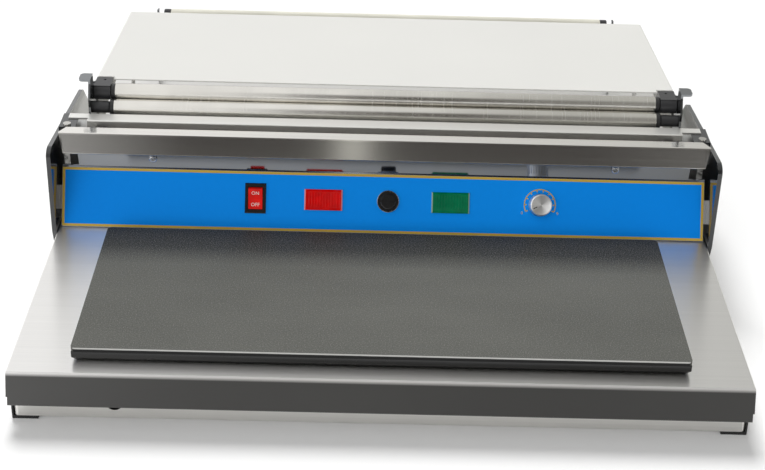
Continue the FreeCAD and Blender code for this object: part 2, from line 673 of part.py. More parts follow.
def make_corner_feet():
    """Four corner feet, each turned to its own corner of the pan."""
    foot = make_corner_foot().Shape
    inner = size("pan_width") / 2 - size("foot_side")
    floor = -size("deck_height")
    front = foot.copy()
    front.translate(Vector(inner, 0, floor))
    rear = foot.copy()
    rear.translate(Vector(inner, size("pan_depth") - size("foot_side"), floor))
    left = [solid.mirror(Vector(), AXIS_X) for solid in (front, rear)]
    return gathered("corner_feet", [front, rear] + left)


def make_base_screws():
    """The screws through the deck's side flanges, each with the collar that spaces the pan."""
    solids = []
    side = size("deck_width") / 2
    collar_length = size("pan_inset") - size("deck_wall")
    for spot in (60.0, size("deck_depth") - 60.0):
        seat = Vector(side, spot, -0.8 * size("side_flange"))
        for here in both_sides(seat):
            inward = Vector(-math.copysign(1, here.x), 0, 0)
            collar = Part.makeCylinder(size("screw_head"), collar_length,
                                       here + inward * size("deck_wall"), inward)
            solids.append(screw(6.0, here, inward).fuse(collar).removeSplitter())
    return gathered("base_screws", solids)


def make_cable_gland():
    """The cable gland in the pan's rear wall: flange, dome nut and inner locknut, bored through."""
    gland = new_body("cable_gland")
    outline = sketch(gland, "XY_Plane")
    out = "(gland_reach + deck_wall + 1.8)"
    draw_edges(outline, [("0.68*gland_radius", "-pan_wall"), ("gland_radius", "-pan_wall"),
                         ("gland_radius", "-pan_wall - 4"), ("0.68*gland_radius", "-pan_wall - 4"),
                         ("0.68*gland_radius", "-pan_wall - 7"), ("gland_bore", "-pan_wall - 7"),
                         ("gland_bore", out), ("gland_bore + 1.6", out), ("0.85*gland_radius", f"{out} - 3"),
                         ("0.85*gland_radius", "3"), ("gland_radius", "3"), ("gland_radius", "0"),
                         ("0.68*gland_radius", "0")])
    revolve(gland, outline, "V_Axis")
    place(gland, "-gland_side", "pan_depth", "-gland_low")
    return keep(gland, "cable_gland")


# Hot plate

def plate_box(owner, inset, low, rise):
    """Pad a rectangle that follows the hot plate's outline at an inset."""
    base = sketch(owner, "XY_Plane", low)
    draw_box(base, f"{inset} - plate_width/2", f"plate_front + {inset}",
             f"plate_width/2 - ({inset})", f"plate_front + plate_depth - ({inset})")
    return pad(owner, base, rise)


def draw_studs(drawing, radius):
    """Draw the four stud holes of the hot plate."""
    for side in ("", "-"):
        for edge in ("plate_front + stud_inset", "plate_front + plate_depth - stud_inset"):
            draw_circle(drawing, f"{side}(plate_width/2 - stud_inset)", edge, radius)


def make_hot_plate():
    """The aluminium plate, bevelled underneath all round, with blind stud holes."""
    plate = new_body("hot_plate")
    block = plate_box(plate, "cover_wall", "metal_low", "plate_thick")
    rounded = dress(plate, "Fillet", block, "plate_corner", lambda edge: runs_along(edge, AXIS_Z))
    low = size("metal_low")
    bevel = dress(plate, "Chamfer", rounded, "plate_thick - plate_rim",
                  lambda edge: abs(middle_of(edge).z - low) < 0.01)
    bevel.ChamferType = "Two distances"
    bind(bevel, "Size2", "plate_bevel")
    doc.recompute()
    studs = sketch(plate, "XY_Plane", "metal_low")
    draw_studs(studs, "stud_radius")
    pocket(plate, studs, "stud_grip", both=False, back=True)
    place(plate)
    return keep(plate, "hot_plate")


def make_hot_plate_cover():
    """The non-stick sheet over the plate, turned down round its rim."""
    cover = new_body("hot_plate_cover")
    block = plate_box(cover, "0", "plate_top - cover_wall - plate_rim", "cover_wall + plate_rim")
    rounded = dress(cover, "Fillet", block, "plate_corner + cover_wall",
                    lambda edge: runs_along(edge, AXIS_Z))
    low = size("plate_top") - size("cover_wall") - size("plate_rim")
    hollow(cover, rounded, "cover_wall", lambda face: abs(face.CenterOfMass.z - low) < 0.01)
    place(cover)
    return keep(cover, "hot_plate_cover")


def make_hot_plate_frame():
    """The black tray that the plate stands on, set in from its rim."""
    frame = new_body("hot_plate_frame")
    block = plate_box(frame, "frame_inset", "0", "metal_low")
    rounded = dress(frame, "Fillet", block, "plate_corner", lambda edge: runs_along(edge, AXIS_Z))
    top = size("metal_low")
    hollow(frame, rounded, "frame_wall", lambda face: abs(face.CenterOfMass.z - top) < 0.01)
    holes = sketch(frame, "XY_Plane")
    draw_studs(holes, "stud_radius + 0.2")
    for side in ("", "-"):
        draw_circle(holes, f"{side}90", "plate_middle", "lead_hole")
    pocket(frame, holes, "4*frame_wall")
    place(frame)
    return keep(frame, "hot_plate_frame")


def make_heater_sheet(label, low, rise, spare):
    """One flat sheet of the heating stack, with holes for the two leads."""
    sheet = new_body(label)
    base = sketch(sheet, "XY_Plane", low)
    draw_box(base, f"-mat_width/2 - {spare}", f"plate_middle - mat_depth/2 - {spare}",
             f"mat_width/2 + {spare}", f"plate_middle + mat_depth/2 + {spare}")
    for side in ("", "-"):
        draw_circle(base, f"{side}90", "plate_middle", "lead_hole/2")
    pad(sheet, base, rise)
    place(sheet)
    return keep(sheet, label)


def make_hot_plate_studs():
    """Four studs from the plate down through the deck, each with its nut."""
    solids = []
    for back in (size("plate_front") + size("stud_inset"),
                 size("plate_front") + size("plate_depth") - size("stud_inset")):
        top = Vector(size("plate_width") / 2 - size("stud_inset"), back, size("metal_low") + size("stud_grip"))
        for spot in both_sides(top):
            low = -size("deck_wall") - 5.0
            shank = Part.makeCylinder(size("stud_radius"), spot.z - low, Vector(spot.x, spot.y, low))
            nut = Part.makePolygon([Vector(spot.x + 4 * math.cos(turn), spot.y + 4 * math.sin(turn),
                                           -size("deck_wall") - 3.2)
                                    for turn in [math.radians(60 * step) for step in range(7)]])
            nut = Part.Face(nut).extrude(Vector(0, 0, 3.2))
            solids.append(shank.fuse(nut).removeSplitter())
    return gathered("hot_plate_studs", solids)


# Control panel

def make_control_panel():
    """The panel: foot flange, leaning face and the upper flange under the bar."""
    lean_gap = "panel_wall*(1 + sin(panel_lean))/cos(panel_lean)"
    turn = "(panel_lean + band_lean)/2"
    fold_y = f"(fold_y + panel_wall*cos(panel_lean - {turn})/cos({turn}))"
    fold_z = f"(fold_z - panel_wall*sin(panel_lean - {turn})/cos({turn}))"
    end_y = "(band_y + panel_wall*cos(band_lean))"
    end_z = "(band_z + panel_wall*sin(band_lean))"
    strip = folded_sheet("panel_strip", [
        ("panel_front + panel_foot", "panel_wall"),
        (f"panel_front + {lean_gap}", "panel_wall"),
        (fold_y, fold_z),
        (end_y, end_z),
    ], "panel_wall", "panel_width")
    panel = body_from("control_panel", strip)
    notches = sketch(panel, "XZ_Plane")
    for side in ("", "-"):
        draw_box(notches, f"{side}band_width/2", "fold_z + panel_wall",
                 f"{side}(panel_width/2 + 5)", "fold_z + 2*band_length")
    pocket(panel, notches)
    cuts = panel_cut_plane(panel)
    draw_box(cuts, "switch_x - switch_shell_width/2 - 0.2", "control_line - switch_shell_length/2 - 0.2",
             "switch_x + switch_shell_width/2 + 0.2", "control_line + switch_shell_length/2 + 0.2")
    for lamp in ("heat_lamp_x", "cutter_lamp_x"):
        draw_box(cuts, f"{lamp} - lamp_shell_width/2 - 0.2", "control_line - lamp_shell_length/2 - 0.2",
                 f"{lamp} + lamp_shell_width/2 + 0.2", "control_line + lamp_shell_length/2 + 0.2")
    draw_circle(cuts, "fuse_x", "control_line", "fuse_shell + 0.2")
    draw_circle(cuts, "dial_x", "control_line", "bush_radius + 0.2")
    pocket(panel, cuts, "8*panel_wall")
    place(panel)
    return keep(panel, "control_panel")


def panel_cut_plane(owner):
    """A sketch that lies in the panel's leaning face, its Y running up the slope."""
    drawing = owner.newObject("Sketcher::SketchObject", owner.Name + "_face")
    drawing.Placement = Placement(Vector(), Rotation(AXIS_X, 1.0))
    bind(drawing, "Placement.Rotation.Angle", "90 - panel_lean")
    bind(drawing, "Placement.Base.y", "panel_front")
    return drawing


def make_panel_overlay():
    """The coloured face sheet, cut out for every control."""
    overlay = new_body("panel_overlay")
    face = sketch(overlay, "XY_Plane")
    draw_box(face, "-panel_width/2", "overlay_raise", "panel_width/2", "overlay_raise + overlay_length")
    draw_box(face, "switch_x - switch_shell_width/2 - 0.2", "control_line - switch_shell_length/2 - 0.2",
             "switch_x + switch_shell_width/2 + 0.2", "control_line + switch_shell_length/2 + 0.2")
    for lamp in ("heat_lamp_x", "cutter_lamp_x"):
        draw_box(face, f"{lamp} - lamp_shell_width/2 - 0.2", "control_line - lamp_shell_length/2 - 0.2",
                 f"{lamp} + lamp_shell_width/2 + 0.2", "control_line + lamp_shell_length/2 + 0.2")
    draw_circle(face, "fuse_x", "control_line", "fuse_shell + 0.2")
    draw_circle(face, "dial_x", "control_line", "bush_radius + 0.2")
    pad(overlay, face, "overlay_thick")
    place_on_panel(overlay, "0", "0")
    return keep(overlay, "panel_overlay")


def make_panel_spacers():
    """The two spacers between the panel's ends and the side plates."""
    spacers = new_body("panel_spacers")
    face = sketch(spacers, "XY_Plane", "-spacer_depth")
    for side in ("", "-"):
        draw_box(face, f"{side}panel_width/2", "control_line - spacer_length/2 - 3", f"{side}deck_width/2",
                 "control_line + spacer_length/2 - 3")
    pad(spacers, face, "spacer_depth")
    place_on_panel(spacers, "0", "0")
    return keep(spacers, "panel_spacers")


def make_switch_body():
    """The switch housing with its bezel, open in front round the rocker."""
    housing = new_body("switch_body")
    bezel = sketch(housing, "XY_Plane", "overlay_thick")
    draw_box(bezel, "-switch_width/2", "-switch_length/2", "switch_width/2", "switch_length/2")
    front = pad(housing, bezel, "switch_bezel")
    top = size("overlay_thick") + size("switch_bezel")
    dress(housing, "Chamfer", front, "0.4*switch_bezel", lambda edge: middle_of(edge).z > top - 0.01)
    shell = sketch(housing, "XY_Plane", "overlay_thick")
    draw_box(shell, "-switch_shell_width/2", "-switch_shell_length/2",
             "switch_shell_width/2", "switch_shell_length/2")
    pad(housing, shell, "switch_depth + overlay_thick", back=True)
    well = sketch(housing, "XY_Plane", "overlay_thick + switch_bezel")
    draw_box(well, "-rocker_width/2 - rocker_gap", "-rocker_length/2 - rocker_gap",
             "rocker_width/2 + rocker_gap", "rocker_length/2 + rocker_gap")
    pocket(housing, well, "switch_bezel + 9", both=False)
    pivot = sketch(housing, "YZ_Plane")
    draw_circle(pivot, "0", "overlay_thick - rocker_pivot", "1.25 + running_gap")
    pocket(housing, pivot, "rocker_width + 2*rocker_gap + 1.6")
    tags = sketch(housing, "XY_Plane", "-switch_depth")
    for step in (-1, 0, 1):
        draw_box(tags, "-2.4", f"{step * 7} - 0.4", "2.4", f"{step * 7} + 0.4")
    pad(housing, tags, "7", back=True)
    place_on_panel(housing, "switch_x")
    return keep(housing, "switch_body")


def make_switch_rocker():
    """The rocker, resting tilted: two finger pads that dip to the middle, and its pivot pin."""
    rocker = new_body("switch_rocker")
    profile = sketch(rocker, "YZ_Plane")
    outline = []
    for turn in ("-12", "5", "rocker_crest", "90", "180 - rocker_crest", "175", "192", "270"):
        reach = {"90": "0.3*rocker_length/2", "270": "0.46*rocker_length/2"}.get(turn, "rocker_length/2")
        outline.append((f"{reach}*cos({turn} + rocker_throw)",
                        f"{reach}*sin({turn} + rocker_throw) - rocker_pivot"))
    draw_edges(profile, outline)
    pad(rocker, profile, "rocker_width", both=True)
    pin = sketch(rocker, "YZ_Plane")
    draw_circle(pin, "0", "-rocker_pivot", "1.25")
    pad(rocker, pin, "rocker_width + 2*rocker_gap + 1.4", both=True)
    place_on_panel(rocker, "switch_x", out="overlay_thick")
    return keep(rocker, "switch_rocker")


def make_lamp(label, across):
    """A panel lamp: chamfered bezel, housing, two tags, and a window for its lens."""
    lamp = new_body(label)
    bezel = sketch(lamp, "XY_Plane", "overlay_thick")
    draw_box(bezel, "-lamp_width/2", "-lamp_length/2", "lamp_width/2", "lamp_length/2")
    front = pad(lamp, bezel, "lamp_bezel")
    top = size("overlay_thick") + size("lamp_bezel")
    dress(lamp, "Chamfer", front, "0.7*lamp_bezel", lambda edge: middle_of(edge).z > top - 0.01)
    shell = sketch(lamp, "XY_Plane", "overlay_thick")
    draw_box(shell, "-lamp_shell_width/2", "-lamp_shell_length/2",
             "lamp_shell_width/2", "lamp_shell_length/2")
    pad(lamp, shell, "lamp_depth + overlay_thick", back=True)
    window = sketch(lamp, "XY_Plane", "overlay_thick + lamp_bezel")
    draw_box(window, "-lens_width/2 - 0.1", "-lens_length/2 - 0.1", "lens_width/2 + 0.1", "lens_length/2 + 0.1")
    pocket(lamp, window, "lamp_bezel - 0.4", both=False)
    chamber = sketch(lamp, "XY_Plane", "overlay_thick + lamp_bezel")
    draw_box(chamber, "-lamp_shell_width/2 + 1.5", "-lamp_shell_length/2 + 1.5",
             "lamp_shell_width/2 - 1.5", "lamp_shell_length/2 - 1.5")
    pocket(lamp, chamber, "lamp_bezel + 0.7*lamp_depth", both=False)
    tags = sketch(lamp, "XY_Plane", "-lamp_depth")
    for side in (-1, 1):
        draw_box(tags, f"{side * 6} - 0.4", "-2.4", f"{side * 6} + 0.4", "2.4")
    pad(lamp, tags, "7", back=True)
    place_on_panel(lamp, across)
    return keep(lamp, label)


def make_lens(label, across):
    """A lamp's lens: a crowned window with ribs along its inner face."""
    lens = new_body(label)
    base = sketch(lens, "XY_Plane")
    draw_box(base, "-lens_width/2", "-lens_length/2", "lens_width/2", "lens_length/2")
    block = pad(lens, base, "lamp_bezel - 0.4 + lens_rise")
    top = size("lamp_bezel") - 0.4 + size("lens_rise")
    dress(lens, "Chamfer", block, "0.7*lens_rise", lambda edge: middle_of(edge).z > top - 0.01)
    ribs = sketch(lens, "XY_Plane")
    for step in range(-3, 4):
        draw_box(ribs, f"{step * 3.4} - 0.5", "-lamp_shell_length/2 + 1.8",
                 f"{step * 3.4} + 0.5", "lamp_shell_length/2 - 1.8")
    pad(lens, ribs, "0.8", back=True)
    place_on_panel(lens, across, out="overlay_thick + 0.4")
    return keep(lens, label)


def make_fuse_holder():
    """The fuse holder: flange, barrel, nut behind the panel and a rear tag."""
    holder = new_body("fuse_holder")
    profile = sketch(holder, "XZ_Plane")
    mouth = "(overlay_thick + fuse_flange_rise)"
    draw_edges(profile, [
        ("fuse_well", mouth), ("fuse_flange - 0.8", mouth), ("fuse_flange", f"{mouth} - 0.8"),
        ("fuse_flange", "overlay_thick"), ("fuse_shell", "overlay_thick"), ("fuse_shell", "-panel_wall"),
        ("fuse_shell + 2.6", "-panel_wall"), ("fuse_shell + 2.6", "-panel_wall - 3"),
        ("fuse_shell", "-panel_wall - 3"), ("fuse_shell", "-fuse_depth"), ("0", "-fuse_depth"),
        ("0", "2 - fuse_depth"), ("fuse_well", "2 - fuse_depth"),
    ])
    revolve(holder, profile, "V_Axis")
    tag = sketch(holder, "XY_Plane", "-fuse_depth")
    draw_box(tag, "-2.4", "-0.4", "2.4", "0.4")
    pad(holder, tag, "6", back=True)
    place_on_panel(holder, "fuse_x")
    return keep(holder, "fuse_holder")


def make_fuse_cap():
    """The fuse cap: a slotted and fluted bayonet cap in front of the holder's flange."""
    cap = new_body("fuse_cap")
    profile = sketch(cap, "XZ_Plane")
    seat = "(overlay_thick + fuse_flange_rise + 0.1)"
    draw_edges(profile, [
        ("0", f"{seat} + fuse_cap_rise"), ("fuse_cap_radius - 1", f"{seat} + fuse_cap_rise"),
        ("fuse_cap_radius", f"{seat} + fuse_cap_rise - 1"), ("fuse_cap_radius", seat), ("0", seat),
    ])
    revolve(cap, profile, "V_Axis")
    slot = sketch(cap, "XY_Plane", f"{seat} + fuse_cap_rise")
    draw_box(slot, "-fuse_cap_radius + 1.6", "-0.7", "fuse_cap_radius - 1.6", "0.7")
    pocket(cap, slot, "1.6", both=False)
    flutes = sketch(cap, "XY_Plane", seat)
    for step in range(8):
        turn = math.radians(45 * step)
        draw_circle(flutes, f"(fuse_cap_radius + 0.45)*{math.cos(turn):.6f}",
                    f"(fuse_cap_radius + 0.45)*{math.sin(turn):.6f}", "0.8")
    pocket(cap, flutes, "fuse_cap_rise + 1", both=False, back=True)
    place_on_panel(cap, "fuse_x")
    return keep(cap, "fuse_cap")


def make_fuse_link():
    """The fuse carrier: the cap's socket and the glass cartridge fuse that it grips."""
    link = new_body("fuse_link")
    profile = sketch(link, "XZ_Plane")
    mouth = "(overlay_thick + fuse_flange_rise)"
    end = f"{mouth} - fuse_socket - fuse_link_length + 5"
    draw_edges(profile, [
        ("0", mouth), ("fuse_well - 0.2", mouth), ("fuse_well - 0.2", f"{mouth} - fuse_socket"),
        ("fuse_link_radius", f"{mouth} - fuse_socket"), ("fuse_link_radius", f"{mouth} - fuse_socket - 1"),
        ("fuse_link_radius - 0.2", f"{mouth} - fuse_socket - 1"), ("fuse_link_radius - 0.2", f"{end} + 5"),
        ("fuse_link_radius", f"{end} + 5"), ("fuse_link_radius", end), ("0", end),
    ])
    revolve(link, profile, "V_Axis")
    place_on_panel(link, "fuse_x")
    return keep(link, "fuse_link")


def make_regulator_pot():
    """The regulator: can, threaded bush through the panel, nut and three tags."""
    pot = new_body("regulator_pot")
    profile = sketch(pot, "XZ_Plane")
    draw_edges(profile, [
        ("shaft_radius + running_gap", "overlay_thick + 3.4"), ("bush_radius", "overlay_thick + 3.4"),
        ("bush_radius", "overlay_thick + 2.4"), ("bush_radius + 2.4", "overlay_thick + 2.4"),
        ("bush_radius + 2.4", "overlay_thick"), ("bush_radius", "overlay_thick"),
        ("bush_radius", "-panel_wall"), ("pot_radius", "-panel_wall"),
        ("pot_radius", "-panel_wall - pot_depth"), ("0", "-panel_wall - pot_depth"),
        ("0", "-panel_wall - pot_depth + 2"), ("shaft_radius + running_gap", "-panel_wall - pot_depth + 2"),
    ])
    revolve(pot, profile, "V_Axis")
    tags = sketch(pot, "XY_Plane", "-panel_wall - pot_depth + 1.5")
    for step in (-1, 0, 1):
        draw_box(tags, f"{step * 5} - 1.4", "-pot_radius - 7", f"{step * 5} + 1.4", "-pot_radius + 3")
    pad(pot, tags, "0.8", back=True)
    place_on_panel(pot, "dial_x")
    return keep(pot, "regulator_pot")


def make_regulator_shaft():
    """The regulator's shaft, flatted where the knob grips it."""
    shaft = new_body("regulator_shaft")
    low = "(0.3 - panel_wall - pot_depth + 2)"
    base = sketch(shaft, "XY_Plane", low)
    draw_circle(base, "0", "0", "shaft_radius")
    pad(shaft, base, f"knob_rise - 1.5 + overlay_thick - {low}")
    flat = sketch(shaft, "XY_Plane", "overlay_thick + knob_rise - 1.5")
    draw_box(flat, "-shaft_radius - 1", "0.55*shaft_radius", "shaft_radius + 1", "shaft_radius + 1")
    pocket(shaft, flat, "knob_rise - 6", both=False)
    place_on_panel(shaft, "dial_x")
    return keep(shaft, "regulator_shaft")


def make_regulator_knob():
    """The knob: skirt, fluted grip, crowned top, and a D-shaped bore for the shaft."""
    knob = new_body("regulator_knob")
    profile = sketch(knob, "XZ_Plane")
    seat = "(overlay_thick + 0.4)"
    top = "(overlay_thick + knob_rise)"
    draw_edges(profile, [
        ("0", top), ("knob_radius - 0.8", top), ("knob_radius", f"{top} - 0.8"),
        ("knob_radius", f"{seat} + 3"), ("knob_skirt", f"{seat} + 1.4"), ("knob_skirt", seat),
        ("bush_radius + 3", seat), ("bush_radius + 3", f"{seat} + 3.6"), ("0", f"{seat} + 3.6"),
    ])
    revolve(knob, profile, "V_Axis")
    bore = sketch(knob, "XY_Plane", f"{seat} + 3.6")
    draw_circle(bore, "0", "0", "shaft_radius")
    pocket(knob, bore, f"{top} - 1.5 - {seat} - 3.6", both=False, back=True)
    flutes = sketch(knob, "XY_Plane", f"{seat} + 3.2")
    count = int(size("knob_flutes"))
    for step in range(count):
        turn = 2 * math.pi * step / count
        draw_circle(flutes, f"(knob_radius + 0.6)*{math.cos(turn):.6f}",
                    f"(knob_radius + 0.6)*{math.sin(turn):.6f}", "1.3")
    pocket(knob, flutes, "knob_rise", both=False, back=True)
    pointer = sketch(knob, "XY_Plane", top)
    across, along = "cos(dial_sweep/2)", "sin(dial_sweep/2)"
    draw_edges(pointer, [(f"-{reach}*{along} + {half}*{across}", f"{reach}*{across} + {half}*{along}")
                         for reach, half in (("3", "-0.5"), ("3", "0.5"), ("(knob_radius + 1)", "0.5"),
                                             ("(knob_radius + 1)", "-0.5"))])
    pocket(knob, pointer, "0.5", both=False)
    place_on_panel(knob, "dial_x")
    return keep(knob, "regulator_knob")


# Cutter

def make_cutter_bar():
    """The cutter bar: rear flange, underside, front face, top flange and lip, tapered at its ends."""
    back_y = "(fold_y - (bar_above + bar_wall)*tan(band_lean) + (panel_wall + bar_wall)/cos(band_lean))"
    nose_in_y = "(nose_y + bar_wall*(1 + sin(bar_lean))/cos(bar_lean))"
    ridge_in_y = f"(ridge_y + bar_wall*(1 - sin(bar_lean))/cos(bar_lean))"
    strip = folded_sheet("bar_strip", [
        (f"{back_y} + bar_return*sin(band_lean)", "nose_z + bar_wall - bar_return*cos(band_lean)"),
        (back_y, "nose_z + bar_wall"),
        (nose_in_y, "nose_z + bar_wall"),
        (ridge_in_y, "ridge_z - bar_wall"),
        ("lip_y - bar_wall", "ridge_z - bar_wall"),
        ("lip_y - bar_wall", "ridge_z - bar_lip"),
    ], "bar_wall", "bar_width")
    bar = body_from("cutter_bar", strip)
    ends = sketch(bar, "XZ_Plane")
    for side in ("", "-"):
        draw_edges(ends, [(f"{side}bar_width/2", "ridge_z"), (f"{side}(bar_width/2 - bar_taper)", "nose_z"),
                          (f"{side}(band_width/2 - 1)", "nose_z - 2*bar_wall"),
                          (f"{side}(band_width/2 - 1)", "nose_z - 2*bar_lip"),
                          (f"{side}bar_width", "nose_z - 2*bar_lip"), (f"{side}bar_width", "ridge_z")])
    pocket(bar, ends)
    mitres = sketch(bar, "XY_Plane", "ridge_z")
    for side in ("", "-"):
        draw_edges(mitres, [(f"{side}bar_width/2", "ridge_y + bar_wall"), (f"{side}(bar_width/2 - bar_mitre)", "lip_y"),
                            (f"{side}(bar_width/2 - bar_mitre)", "lip_y + 5"), (f"{side}bar_width", "lip_y + 5"),
                            (f"{side}bar_width", "ridge_y + bar_wall")])
    pocket(bar, mitres, "2*bar_lip")
    place(bar)
    return keep(bar, "cutter_bar")


def make_cutter_insulator():
    """The insulating board behind the bar, grooved under the wire, with end blocks for the posts."""
    board = new_body("cutter_insulator")
    section = sketch(board, "YZ_Plane")
    low = "(board_top - insulator_rise)"
    draw_edges(section, [
        ("lip_y", low), ("lip_y + insulator_thick", low), ("lip_y + insulator_thick", "board_top"),
        ("wire_y + 1.5", "board_top"), ("wire_y + 1.5", "board_top - 2"), ("wire_y - 1.5", "board_top - 2"),
        ("wire_y - 1.5", "board_top"), ("lip_y", "board_top"),
    ])
    pad(board, section, "insulator_length", both=True)
    blocks = sketch(board, "YZ_Plane", "insulator_length/2 - post_length - 2")
    draw_box(blocks, "lip_y", "board_top - 2", "lip_y + insulator_thick", "wire_z + post_radius + 1")
    pad(board, blocks, "post_length + 2")
    twin = sketch(board, "YZ_Plane", "-insulator_length/2")
    draw_box(twin, "lip_y", "board_top - 2", "lip_y + insulator_thick", "wire_z + post_radius + 1")
    pad(board, twin, "post_length + 2")
    bores = sketch(board, "YZ_Plane")
    draw_circle(bores, "wire_y", "wire_z", "post_radius")
    pocket(board, bores)
    place(board)
    return keep(board, "cutter_insulator")


def make_wire_posts():
    """Two ceramic posts that the cutting wire passes through."""
    solids = []
    start = size("insulator_length") / 2 - size("post_length") - 1
    for sign in (1, -1):
        foot = Vector(sign * start, size("wire_y"), size("wire_z"))
        outward = Vector(sign, 0, 0)
        sleeve = Part.makeCylinder(size("post_radius"), size("post_length") + 1, foot, outward)
        lip = Part.makeCylinder(size("post_radius") + 1, 1.2, foot + outward * (size("post_length") + 1), outward)
        bore = Part.makeCylinder(size("wire_radius") + 0.2, size("post_length") + 4, foot - outward, outward)
        solids.append(sleeve.fuse(lip).cut(bore))
    return gathered("wire_posts", solids)


def make_cutter_wire():
    """The cutting wire, straight from spring to spring."""
    wire = doc.addObject("Part::Cylinder", "cutter_wire")
    bind(wire, "Radius", "wire_radius")
    bind(wire, "Height", "2*spring_start")
    wire.Placement = Placement(Vector(), Rotation(AXIS_Y, 90))
    bind(wire, "Placement.Base.x", "-spring_start")
    bind(wire, "Placement.Base.y", "origin_y + wire_y")
    bind(wire, "Placement.Base.z", "deck_height + wire_z")
    doc.recompute()
    return keep(wire, "cutter_wire")


def make_cutter_springs():
    """The two tension springs, each a close-wound coil turned as one ribbed body, with its ring."""
    coil = new_body("cutter_spring")
    drawing = sketch(coil, "XZ_Plane")
    turns = int(size("spring_turns"))
    outline = [("0", "0")]
    for step in range(turns):
        outline.append(("spring_radius - 0.2*spring_wire", f"spring_pitch*{step}"))
        outline.append(("spring_radius + spring_wire", f"spring_pitch*{step + 0.5}"))
    outline.append(("spring_radius - 0.2*spring_wire", f"spring_pitch*{turns}"))
    reach = "(deck_width/2 - anchor_inset - spring_start - screw_radius - spring_wire)"
    outline.append(("spring_wire", f"spring_pitch*{turns}"))
    outline.append(("spring_wire", reach))
    outline.append(("0", reach))
    draw_edges(drawing, outline)
    revolve(coil, drawing, "V_Axis")
    solids = []
    ring_radius = size("screw_radius") + size("spring_wire")
    anchor = size("deck_width") / 2 - size("anchor_inset")
    for sign in (1, -1):
        made = coil.Shape.copy()
        made.rotate(Vector(), AXIS_Y, 90.0 * sign)
        made.translate(Vector(sign * size("spring_start"), size("wire_y"), size("wire_z")))
        low = Vector(sign * anchor, size("wire_y"), size("wire_z") - 1.5 * size("spring_wire"))
        ring = Part.makeCylinder(ring_radius + size("spring_wire"), 3 * size("spring_wire"), low, AXIS_Z)
        eye = Part.makeCylinder(ring_radius - size("spring_wire"), 3 * size("spring_wire"), low, AXIS_Z)
        solids.append(made.fuse(ring.cut(eye)))
    return gathered("cutter_springs", solids)


def make_spring_anchors():
    """The terminal screws that hold the springs under the rest brackets."""
    seat = Vector(size("deck_width") / 2 - size("anchor_inset"), size("wire_y"),
                  size("rest_top") - size("rest_wall"))
    drop = seat.z - size("wire_z") + 4 * size("spring_wire")
    solids = []
    for spot in both_sides(seat):
        made = screw(drop, spot, Vector(0, 0, -1))
        keeper = Part.makeCylinder(size("screw_head"), 1.0, spot + Vector(0, 0, -drop), AXIS_Z)
        solids.append(made.fuse(keeper).removeSplitter())
    return gathered("spring_anchors", solids)


# Film rest and rear cover

def make_film_rest():
    """The film rest: a flat strip with lips turned down and a narrower tab at each end."""
    strip = folded_sheet("rest_strip", [
        ("rest_front + rest_wall", "rest_seat"),
        ("rest_front + rest_wall", "rest_top - rest_wall"),
        ("rest_rear - rest_wall", "rest_top - rest_wall"),
        ("rest_rear - rest_wall", "rest_seat"),
    ], "rest_wall", "rest_width")
    rest = body_from("film_rest", strip)
    tabs = sketch(rest, "XY_Plane", "rest_top")
    for side in ("", "-"):
        draw_box(tabs, f"{side}(rest_width/2 - 2)", "rest_rear - rest_tab_depth",
                 f"{side}(rest_width/2 + rest_tab)", "rest_rear - rest_wall")
    pad(rest, tabs, "rest_wall", back=True)
    place(rest)
    return keep(rest, "film_rest")


def make_rear_cover():
    """The upright sheet that closes the housing behind the panel and carries the film rest."""
    strip = folded_sheet("cover_strip", [
        ("rest_front + rest_wall/2", "rest_seat - rest_wall"),
        ("rest_rear - rest_wall", "rest_seat - rest_wall"),
        ("rest_rear - rest_wall", "0"),
    ], "rest_wall", "panel_width")
    cover = body_from("rear_cover", strip)
    foot = sketch(cover, "XY_Plane")
    draw_box(foot, "-bracket_side + 6", "rest_rear - rest_wall", "bracket_side - 6", "rest_rear - rest_wall + cover_foot")
    pad(cover, foot, "rest_wall")
    vents = sketch(cover, "XZ_Plane")
    for step in range(-5, 6):
        draw_box(vents, f"{step * 18} - 2.5", "0.35*rest_seat", f"{step * 18} + 2.5", "0.75*rest_seat")
    pocket(cover, vents)
    place(cover)
    return keep(cover, "rear_cover")


def make_rest_bracket():
    """The angle that carries an end of the film rest and the wire's spring."""
    angle = new_body("rest_bracket_right")
    section = sketch(angle, "XZ_Plane", "-(rest_rear + 1)")
    side = "deck_width/2"
    top = "(rest_top - rest_wall)"
    draw_edges(section, [
        (side, top), (side, f"{top} - corner_drop"), (f"{side} - corner_wall", f"{top} - corner_drop"),
        (f"{side} - corner_wall", f"{top} - corner_wall"), (f"{side} - corner_reach", f"{top} - corner_wall"),
        (f"{side} - corner_reach", top),
    ])
    pad(angle, section, "rest_rear + 0.5 - lip_y")
    holes = sketch(angle, "XY_Plane", "rest_top")
    draw_circle(holes, "deck_width/2 - anchor_inset", "wire_y", "screw_hole")
    pocket(angle, holes, "3*rest_wall + 4", both=True)
    place(angle)
    return keep(angle, "rest_bracket_right")


# Side plates

def make_side_plate():
    """The right-hand side plate, with its rim turned outwards."""
    plate = new_body("side_plate_right")
    outline = sketch(plate, "YZ_Plane", "deck_width/2")
    draw_edges(outline, [
        ("side_front + 6", "-side_low"), ("side_front", "2"), ("side_front + 1", "side_top_front - 3"),
        ("side_front + 10", "side_top_front"), ("side_peak", "side_top_rear"), ("side_rear - 6", "side_knee"),
        ("side_rear", "-side_low"),
    ])
    block = pad(plate, outline, "side_rim")
    rounded = dress(plate, "Fillet", block, "side_corner",
                    lambda edge: runs_along(edge, AXIS_X) and middle_of(edge).z > size("side_top_rear") - 1)
    outside = size("deck_width") / 2 + size("side_rim")
    hollow(plate, rounded, "side_wall",
           lambda face: abs(face.CenterOfMass.x - outside) < 0.01 or face.CenterOfMass.z < 0.01 - size("side_low"))
    place(plate)
    return keep(plate, "side_plate_right")


# Roller brackets and rollers

